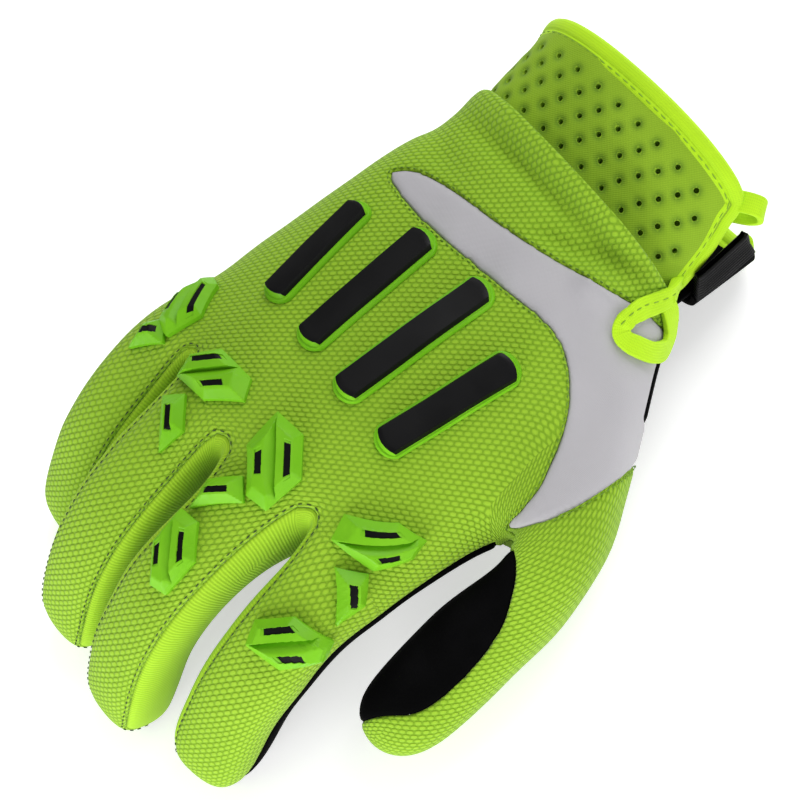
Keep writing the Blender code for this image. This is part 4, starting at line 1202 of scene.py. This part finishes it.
# the cuff, its binding, tapes and strap
cuff = {
    "length": 0.028, "width": 0.076, "height": 0.045, "flare": 0.7, "bow": 0.0040, "bowLevel": 0.6,
    "wall": 0.0022, "tuck": 0.0040, "play": 0.0028, "slitEdge": 34.0, "slitHand": 10.0, "slitBottom": -14.0,
    "hole": 0.00140, "pitch": 0.0052, "margin": 0.5, "reach": 5, "columns": 300, "bands": 64,
    "dimple": 0.00050, "dimpleSize": 0.0014, "under": 1.07, "slant": 0.0036, "slantHeight": 0.4,
    "pinch": 0.0045, "pinchSpread": 48.0,                # drawn in at the thumb side, degrees either way
    "lining": 0.0005, "waves": 0.0005, "waveSize": 0.012, "pinDepth": 2.4, "sharp": 40,
    "turnStep": 0.5, "alongStep": 0.01,                  # either way for the normal
    "seam": 0.25, "lap": 4.0,                            # degrees left at the side seam, and past the slit
}
binding = {
    "width": 0.0055, "thickness": 0.0036, "start": 0.0030, "play": 0.0015, "join": 0.9, "tip": 0.60,
    "round": 6.0, "corner": ((5.2, 0.020), (2.6, 0.085), (0.6, 0.200)),      # degrees past the slit, along
    # across, up: the roll is the outer two thirds, the flat flange the inner third, a crease between
    "half": ((0.50, 0.06), (0.475, 0.28), (0.40, 0.43), (0.28, 0.50), (0.12, 0.50), (-0.02, 0.46),
             (-0.11, 0.37), (-0.15, 0.29), (-0.20, 0.32), (-0.32, 0.34), (-0.44, 0.31), (-0.495, 0.22)),
    "stitchAt": (0.31, 0.34), "steps": 90, "tipSteps": 10,
}


def cuffPoint(turn, along):
    narrow = min(palm["sections"][0][1], palm["sections"][1][1])
    inset = shell["wall"] + cuff["play"]
    top = min(palm["sections"][0][2], palm["sections"][1][2]) * palm["thickness"] - inset
    bottom = min(palm["sections"][0][3], palm["sections"][1][3]) * palm["thickness"] - inset
    flare = max(0.0, along) ** cuff["flare"]
    pairs = ((narrow * palm["width"] / 2 - inset, cuff["width"] / 2), (top, cuff["height"] / 2),
             (bottom, cuff["height"] / 2))
    blend = [low + (high - low) * flare for low, high in pairs]
    a = math.radians(turn)
    power = palm["roundness"]
    reach = 1.0 / (abs(math.cos(a)) ** power + abs(math.sin(a)) ** power) ** (1.0 / power)
    rise = blend[1] if math.sin(a) > 0 else blend[2]
    start = palm["length"] - cuff["tuck"]
    bow = cuff["bow"] * (max(0.0, math.sin(a)) - cuff["bowLevel"])
    low = min(1.0, max(0.0, 1.0 + math.sin(a) / cuff["slantHeight"]))
    slant = cuff["slant"] * (1 - math.cos(a)) / 2 * low
    end = palm["length"] + cuff["length"] - binding["width"] - shell["gap"] + bow - slant
    signed = (turn + 180.0) % 360.0 - 180.0
    pinch = cuff["pinch"] * math.exp(-(signed / cuff["pinchSpread"]) ** 2) * max(0.0, along)
    return Vector((palm["sections"][0][4] * palm["width"] + blend[0] * reach * math.cos(a) - pinch,
                   start + (end - start) * along, rise * reach * math.sin(a)))


def slitTop(along):
    return cuff["slitHand"] + (cuff["slitEdge"] - cuff["slitHand"]) * along


def cuffNormal(turn, along):
    # outward
    step = cuff["turnStep"]
    roundRun = cuffPoint(turn + step, along) - cuffPoint(turn - step, along)
    lengthRun = cuffPoint(turn, along + cuff["alongStep"]) - cuffPoint(turn, along)
    return lengthRun.cross(roundRun).normalized()


cuffLength = cuffPoint(0.0, 1.0).y - cuffPoint(0.0, 0.0).y


def holePlaces():
    step = cuff["pitch"] / math.sqrt(2)
    first = (cuff["tuck"] + step * cuff["margin"]) / cuffLength
    places = []
    for row in range(int((cuffLength * (1 - first) - cuff["hole"]) / step) + 1):
        along = first + row * step / cuffLength
        covered, count = 0.0, 0
        for turn in range(180 - cuff["reach"], int(slitTop(along) + cuff["reach"]), -1):
            if covered >= count * step:
                if count % 2 == row % 2:
                    places.append((turn, along))
                count += 1
            covered += (cuffPoint(turn - 1, along) - cuffPoint(turn, along)).length
    return places


def cuffSheet(turnsAt, holes, depth=0.0):
    sheet = bmesh.new()
    uv = sheet.loops.layers.uv.new("cloth")
    # how near each point lies to a hole; it sinks the dimple and marks the painted shade round it
    holeShade = sheet.verts.layers.float.new("hole")
    dimples = None
    if holes:
        dimples = KDTree(len(holes))
        for k, pair in enumerate(holes):
            dimples.insert(cuffPoint(*pair), k)
        dimples.balance()
    rows, flats = [], []
    for band in range(cuff["bands"] + 1):
        along = band / cuff["bands"] * cuff["under"]
        row, flat, run, before = [], [], 0.0, None
        for turn in turnsAt(along):
            place, out = cuffPoint(turn, along), cuffNormal(turn, along)
            run += (place - before).length if before else 0.0
            before = place
            lift = cuff["waves"] * noise.noise(place / cuff["waveSize"])
            near = math.exp(-(dimples.find(place)[2] / cuff["dimpleSize"]) ** 2) if dimples else 0.0
            made = sheet.verts.new(place + out * (lift - depth - cuff["dimple"] * near))
            made[holeShade] = near
            row.append(made)
            flat.append((run, place.y))
        rows.append(row)
        flats.append(flat)
    for (row, after), (flat, flatAfter) in zip(zip(rows, rows[1:]), zip(flats, flats[1:])):
        for k in range(len(row) - 1):
            face = sheet.faces.new((row[k], after[k], after[k + 1], row[k + 1]))
            for loop, place in zip(face.loops, (flat[k], flatAfter[k], flatAfter[k + 1], flat[k + 1])):
                loop[uv].uv = place
    return sheet


def spread(first, last):
    count = cuff["columns"] // 2
    return [first + (last - first) * k / count for k in range(count + 1)]


def backTurns(along):
    return spread(slitTop(along) - cuff["lap"], 180 - cuff["seam"])


def palmTurns(along):
    return spread(180 + cuff["seam"], 360 + cuff["slitBottom"])


def addCuff():
    holes = holePlaces()
    wall = cuff["wall"]
    made = finishMesh("cuffNeoprene", cuffSheet(backTurns, holes), [finishes["neoprene"]], thickness=wall)
    points = bpy.data.meshes.new("holes")
    middles = [handPose @ (cuffPoint(*pair) - cuffNormal(*pair) * wall / 2) for pair in holes]
    points.from_pydata(middles, [], [])
    facing = points.attributes.new("facing", "FLOAT_VECTOR", "POINT")
    turned = handPose.to_3x3()
    facing.data.foreach_set("vector", [value for pair in holes for value in turned @ cuffNormal(*pair)])
    pins = grow("holes", points, pinTree(), {"Diameter": cuff["hole"], "Depth": wall * cuff["pinDepth"]})
    cutter = bpy.data.objects.new("holeCutter", pins)
    looks.objects.link(cutter)
    cut = made.modifiers.new("holes", "BOOLEAN")
    cut.operation, cut.solver, cut.object = "DIFFERENCE", "EXACT", cutter
    pierced = baked(made)
    made.modifiers.clear()
    made.data = pierced
    bpy.data.objects.remove(cutter, do_unlink=True)
    pierced.shade_smooth()
    pierced.set_sharp_from_angle(angle=math.radians(cuff["sharp"]))
    settle(made, ("cuff_back",), "green_neoprene")
    declareSheet(made)
    behind = cuffSheet(backTurns, None, wall + cuff["lining"])
    lining = finishMesh("cuffLiningCloth", behind, [finishes["neoprene"]], thickness=cuff["lining"])
    settle(lining, (), "green_neoprene")
    declareSheet(lining)
    under = finishMesh("cuffPalmCloth", cuffSheet(palmTurns, None), [finishes["palm"]], thickness=wall)
    settle(under, ("cuff_palm",), "black_suede")
    declareSheet(under)
    print("cuff:", len(holes), "holes")


def tapeSide(places, normals, k):
    return alongAt(places, k).cross(normals[k]).normalized()


def sweep(places, normals, profile, sizes=None):
    # a profile of (across, up) pairs drawn along a line, square to the normals
    solid = bmesh.new()
    uv = solid.loops.layers.uv.new("cloth")
    rings, reach = [], 0.0
    girth = [0.0]
    for (ax, ay), (bx, by) in zip(profile, profile[1:] + profile[:1]):
        girth.append(girth[-1] + math.hypot(bx - ax, by - ay))
    for k, centre in enumerate(places):
        side = tapeSide(places, normals, k)
        up = side.cross(alongAt(places, k)).normalized()
        reach += (centre - places[k - 1]).length if k else 0.0
        size = sizes[k] if sizes else 1.0
        rings.append(([solid.verts.new(centre + (side * a + up * b) * size) for a, b in profile], reach))
    count = len(profile)
    for (ring, low), (after, high) in zip(rings, rings[1:]):
        for k in range(count):
            n = (k + 1) % count
            face = solid.faces.new((ring[k], ring[n], after[n], after[k]))
            flat = ((girth[k], low), (girth[k + 1], low), (girth[k + 1], high), (girth[k], high))
            for loop, place in zip(face.loops, flat):
                loop[uv].uv = place
    solid.faces.new(rings[0][0])
    solid.faces.new(list(reversed(rings[-1][0])))
    bmesh.ops.recalc_face_normals(solid, faces=solid.faces)
    return solid


def bendSizes(places, width, least):
    # narrower where the line bends, so that the tape's inner edge doesn't fold over itself
    sizes = []
    for k in range(len(places)):
        before, here, after = places[max(k - 1, 0)], places[k], places[min(k + 1, len(places) - 1)]
        bend = (here - before).angle(after - here, 0.0) / max(1e-6, (after - before).length / 2)
        sizes.append(max(least, min(1.0, tapes["tightest"] / (bend * width + 1e-9))))
    for _ in range(tapes["evened"]):
        sizes = [(sizes[max(k - 1, 0)] + size + sizes[min(k + 1, len(sizes) - 1)]) / 3
                 for k, size in enumerate(sizes)]
    return sizes


def roundProfile(width, thickness, corner, steps=4):
    made, tall = [], corner * tapes["flat"]
    for cx, cy, start in ((1, 1, 0), (-1, 1, 90), (-1, -1, 180), (1, -1, 270)):
        for k in range(steps + 1):
            a = math.radians(start + 90 * k / steps)
            made.append((cx * (width / 2 - corner) + corner * math.cos(a),
                         cy * (thickness / 2 - tall) + tall * math.sin(a)))
    return made


def pullPath():
    # the pull loop's middle line, cast onto the cloth
    a = math.radians(tapes["turn"])
    outward = Vector((math.sin(a), 0.0, math.cos(a)))
    places, normals = [], []
    for x, y in rounded(tapes["pull"], closed=False):
        far = Vector((x * palm["width"], y * palm["length"], 0.0)) + outward * palm["width"]
        hit, normal = tree.ray_cast(far, -outward)[:2]
        places.append(hit + normal * (tapes["seat"] + tapes["thickness"] / 2))
        normals.append(normal)
    return places, normals


def addBinding():
    b = binding
    beyond = 1 + (shell["gap"] + b["width"] / 2) / cuffLength
    slope = math.atan2(math.radians(cuff["slitEdge"] - cuff["slitHand"]) * cuff["width"] / 2, cuffLength)
    aside = math.degrees((b["play"] + b["width"] / 2) / (math.cos(slope) * cuff["width"] / 2))
    last = 360 + cuff["slitBottom"]
    sweepTo, count = slitTop(1.0) + b["round"], b["steps"]
    pairs = [(last + (sweepTo - last) * k / count, beyond) for k in range(count + 1)]
    corner = [pairs[-1]] + [(slitTop(1.0) - aside + turn, beyond - along) for turn, along in b["corner"]]
    low = (cuff["tuck"] + b["start"]) / cuffLength
    down = [b["join"] + (low - b["join"]) * k / 3 for k in (1, 2, 3)]
    corner += [(slitTop(along) - aside, along) for along in down]
    pairs = pairs[:-1] + [tuple(point) for point in rounded(corner, closed=False)]
    normals = [cuffNormal(*pair) for pair in pairs]
    places = [cuffPoint(*pair) - out * (cuff["wall"] / 2) for pair, out in zip(pairs, normals)]
    w, t = b["width"], b["thickness"]
    profile = [*b["half"], (-0.5, 0.0)] + [(x, -y) for x, y in reversed(b["half"][1:])]
    end, outward = places[-1], normals[-1]
    ahead, aheadNormal = (values[0] for values in pullPath())
    # the last stretch runs on into the pull loop
    steps = [k / b["tipSteps"] for k in range(1, b["tipSteps"] + 1)]
    places += [end.lerp(ahead, share) for share in steps]
    normals += [outward.lerp(aheadNormal, share).normalized() for share in steps]
    sizes = [1.0] * (len(places) - len(steps)) + [1 - (1 - b["tip"]) * share for share in steps]
    solid = sweep(places, normals, [(-x * w, y * t) for x, y in profile], sizes)
    made = finishMesh("cuffBindingTape", solid, [finishes["tape"]])
    settle(made, ("cuff_binding",), "neon_tape")
    inward, raised = b["stitchAt"][0] * w, b["stitchAt"][1] * t
    rows = [places[k] + tapeSide(places, normals, k) * inward + normals[k] * raised
            for k in range(len(places) - len(steps))]
    stitchPiece("stitchesBinding", [rows], finishes["tapeThread"], "neon_tape", "tape")
    return end, outward


tapes = {
    "width": 0.0052, "thickness": 0.0016, "corner": 0.0005, "turn": 38.0, "seat": 0.0003,
    "lead": 0.0008, "leadSteps": 8, "leadHump": 0.0004, "least": 0.7,
    "tightest": 1.8, "evened": 4, "flat": 0.9,
    "pull": ((0.307, 0.985), (0.292, 0.940), (0.276, 0.900), (0.268, 0.870), (0.280, 0.843), (0.316, 0.836),
             (0.362, 0.850), (0.405, 0.872), (0.428, 0.903), (0.414, 0.932), (0.385, 0.952), (0.350, 0.966),
             (0.325, 0.970)),
    "loop": ((0.290, 1.238, 0.320), (0.325, 1.260, 0.325), (0.346, 1.275, 0.285), (0.346, 1.273, 0.205),
             (0.322, 1.255, 0.160), (0.285, 1.230, 0.160)),
}


def addTapes(start, startNormal):
    places, normals = pullPath()
    lead = start + startNormal * tapes["lead"]
    shares = [k / tapes["leadSteps"] for k in range(tapes["leadSteps"])]
    places = [lead.lerp(places[0], share) + startNormal * (tapes["leadHump"] * math.sin(math.pi * share))
              for share in shares] + places
    normals = [startNormal.lerp(normals[0], share).normalized() for share in shares] + normals
    for _ in range(3):
        normals = [(normals[max(k - 1, 0)] + n + normals[min(k + 1, len(normals) - 1)]).normalized()
                   for k, n in enumerate(normals)]
    profile = roundProfile(tapes["width"], tapes["thickness"], tapes["corner"])
    sizes = bendSizes(places, tapes["width"], tapes["least"])
    made = finishMesh("pullLoopTape", sweep(places, normals, profile, sizes), [finishes["tape"]])
    settle(made, ("pull_loop",), "neon_tape")
    aside, raised = stitches["tapeAside"], tapes["thickness"] / 2
    rows = [places[k] + tapeSide(places, normals, k) * aside + normals[k] * raised
            for k in range(stitches["tapeCount"])]
    stitchPiece("stitchesLoop", [rows], finishes["tapeThread"], "neon_tape", "tape")
    points = rounded(tapes["loop"], closed=False)
    places = [Vector((p.x * palm["width"], p.y * palm["length"], p.z * palm["thickness"])) for p in points]
    middle = sum(places, Vector()) / len(places)
    flat = (places[1] - places[0]).cross(places[-1] - places[-2]).normalized()
    normals = []
    for k, place in enumerate(places):
        normal = flat.cross(alongAt(places, k)).normalized()
        normals.append(normal if normal.dot(place - middle) > 0 else -normal)
    made = finishMesh("smallLoopTape", sweep(places, normals, profile), [finishes["tape"]])
    settle(made, ("palm_loop",), "neon_tape")


strap = {
    "width": 0.0185, "thickness": 0.0020, "start": -45.0, "end": -15.0, "seat": 0.0009, "margin": -0.0038,
    "tabStart": 1.0, "tabTurn": 27.0, "tabThickness": 0.0026, "taperLow": 0.08, "taperHigh": 0.06,
    "ridges": 9, "ridgeHeight": 0.0005, "wallShare": 0.8, "columns": 64, "bands": 14, "napLength": 0.03,
}


def strapSheet(start, end, low, high, lift, ridges=0):
    sheet = bmesh.new()
    uv = sheet.loops.layers.uv.new("cloth")
    columns, bands = strap["columns"], strap["bands"]
    rows = []
    for band in range(bands + 1):
        row = []
        for k in range(columns + 1):
            share, across = k / columns, band / bands
            near, far = (ends[0] + (ends[1] - ends[0]) * share for ends in (low, high))
            pair = (start + (end - start) * share, near * (1 - across) + far * across)
            wave = abs(math.sin(math.pi * ridges * share)) if 0 < band < bands else 0.0
            rise = lift + strap["ridgeHeight"] * (wave - 1)
            made = sheet.verts.new(cuffPoint(*pair) + cuffNormal(*pair) * rise)
            row.append((made, (share * strap["napLength"], across * strap["width"])))
        rows.append(row)
    for row, after in zip(rows, rows[1:]):
        for k in range(columns):
            corners = (row[k], after[k], after[k + 1], row[k + 1])
            face = sheet.faces.new([corner[0] for corner in corners])
            for loop, corner in zip(face.loops, corners):
                loop[uv].uv = corner[1]
    return sheet


def addStrap():
    high = 1.0 - strap["margin"] / cuffLength
    low = high - strap["width"] / cuffLength
    s = strap
    sheet = strapSheet(s["start"], s["end"], (low, low), (high, high), s["seat"] + s["thickness"])
    wall = s["thickness"] * s["wallShare"]
    made = finishMesh("wristStrapCloth", sheet, [finishes["suede"]], thickness=wall)
    settle(made, ("wrist_strap",), "black_suede")
    declareSheet(made)
    sheet = strapSheet(s["end"] + s["tabStart"], s["end"] + s["tabTurn"], (low, low + s["taperLow"]),
                       (high, high - s["taperHigh"]), s["seat"] + s["tabThickness"], s["ridges"])
    wall = s["tabThickness"] * s["wallShare"]
    made = finishMesh("strapTabRubber", sheet, [finishes["black"]], thickness=wall, sharp=40)
    settle(made, ("strap_tab",), "black_rubber")


for panel in panelNames[3:]:
    runs = seamLine(surface, label, "back", panel, stitches["aside"])
    stitchPiece(panel.replace("gusset", "stitches"), runs, finishes["darkThread"], "green_neoprene", "fork")
whiteRuns = seamLine(surface, label, "back", "whitePanel", stitches["whiteAside"])
stitchPiece("stitchesWhite", whiteRuns, finishes["limeThread"], "lime_cloth", "white")
addGuards()
addRibs()
print("guards and ribs made")
addCuff()
addTapes(*addBinding())
addStrap()
print("cuff, tapes and strap made")


# floor and light
stage = {
    "floor": (0.82, 0.82, 0.82), "shade": 0.98, "patch": (3.0, 2.0), "glow": 0.50, "world": 0.43,
    "reach": 3.0, "below": 0.0002,
    # place, size, power, aimed at the glove; x and y run along the picture's right and up
    "lamps": ((-0.50, -1.00, 0.26, 0.9, 27.0), (0.80, -0.55, 0.50, 0.8, 6.5), (0.20, 0.95, 0.60, 0.8, 9.5)),
}


def makeStage():
    floorMesh = bmesh.new()
    bmesh.ops.create_grid(floorMesh, x_segments=1, y_segments=1, size=stage["reach"])
    floorFinish = Finish("paleFloor", 0.9)
    darker = tuple(c * stage["shade"] for c in stage["floor"])
    floorFinish.colour(floorFinish.mix(floorFinish.noise(*stage["patch"]), stage["floor"], darker))
    floorFinish.shader.inputs["Emission Color"].default_value = (1.0, 1.0, 1.0, 1.0)
    floorFinish.shader.inputs["Emission Strength"].default_value = stage["glow"]
    floor = finishMesh("floor", floorMesh, [floorFinish.material], posed=False)
    floor.location.z = -stage["below"]
    world = bpy.data.worlds.new("studio")
    world.use_nodes = True
    world.node_tree.nodes["Background"].inputs[0].default_value = (1.0, 1.0, 1.0, 1.0)
    world.node_tree.nodes["Background"].inputs[1].default_value = stage["world"]
    bpy.context.scene.world = world
    for k, (x, y, z, size, power) in enumerate(stage["lamps"]):
        lamp = bpy.data.lights.new(f"softLamp{k}", "AREA")
        lamp.size = size
        lamp.energy = power
        made = bpy.data.objects.new(f"softLamp{k}", lamp)
        bpy.context.scene.collection.objects.link(made)
        place = right * x + up * y + back * z
        made.matrix_world = Matrix.Translation(place) @ place.to_track_quat("Z", "Y").to_matrix().to_4x4()
    bpy.context.scene.view_settings.view_transform = "Standard"


makeStage()
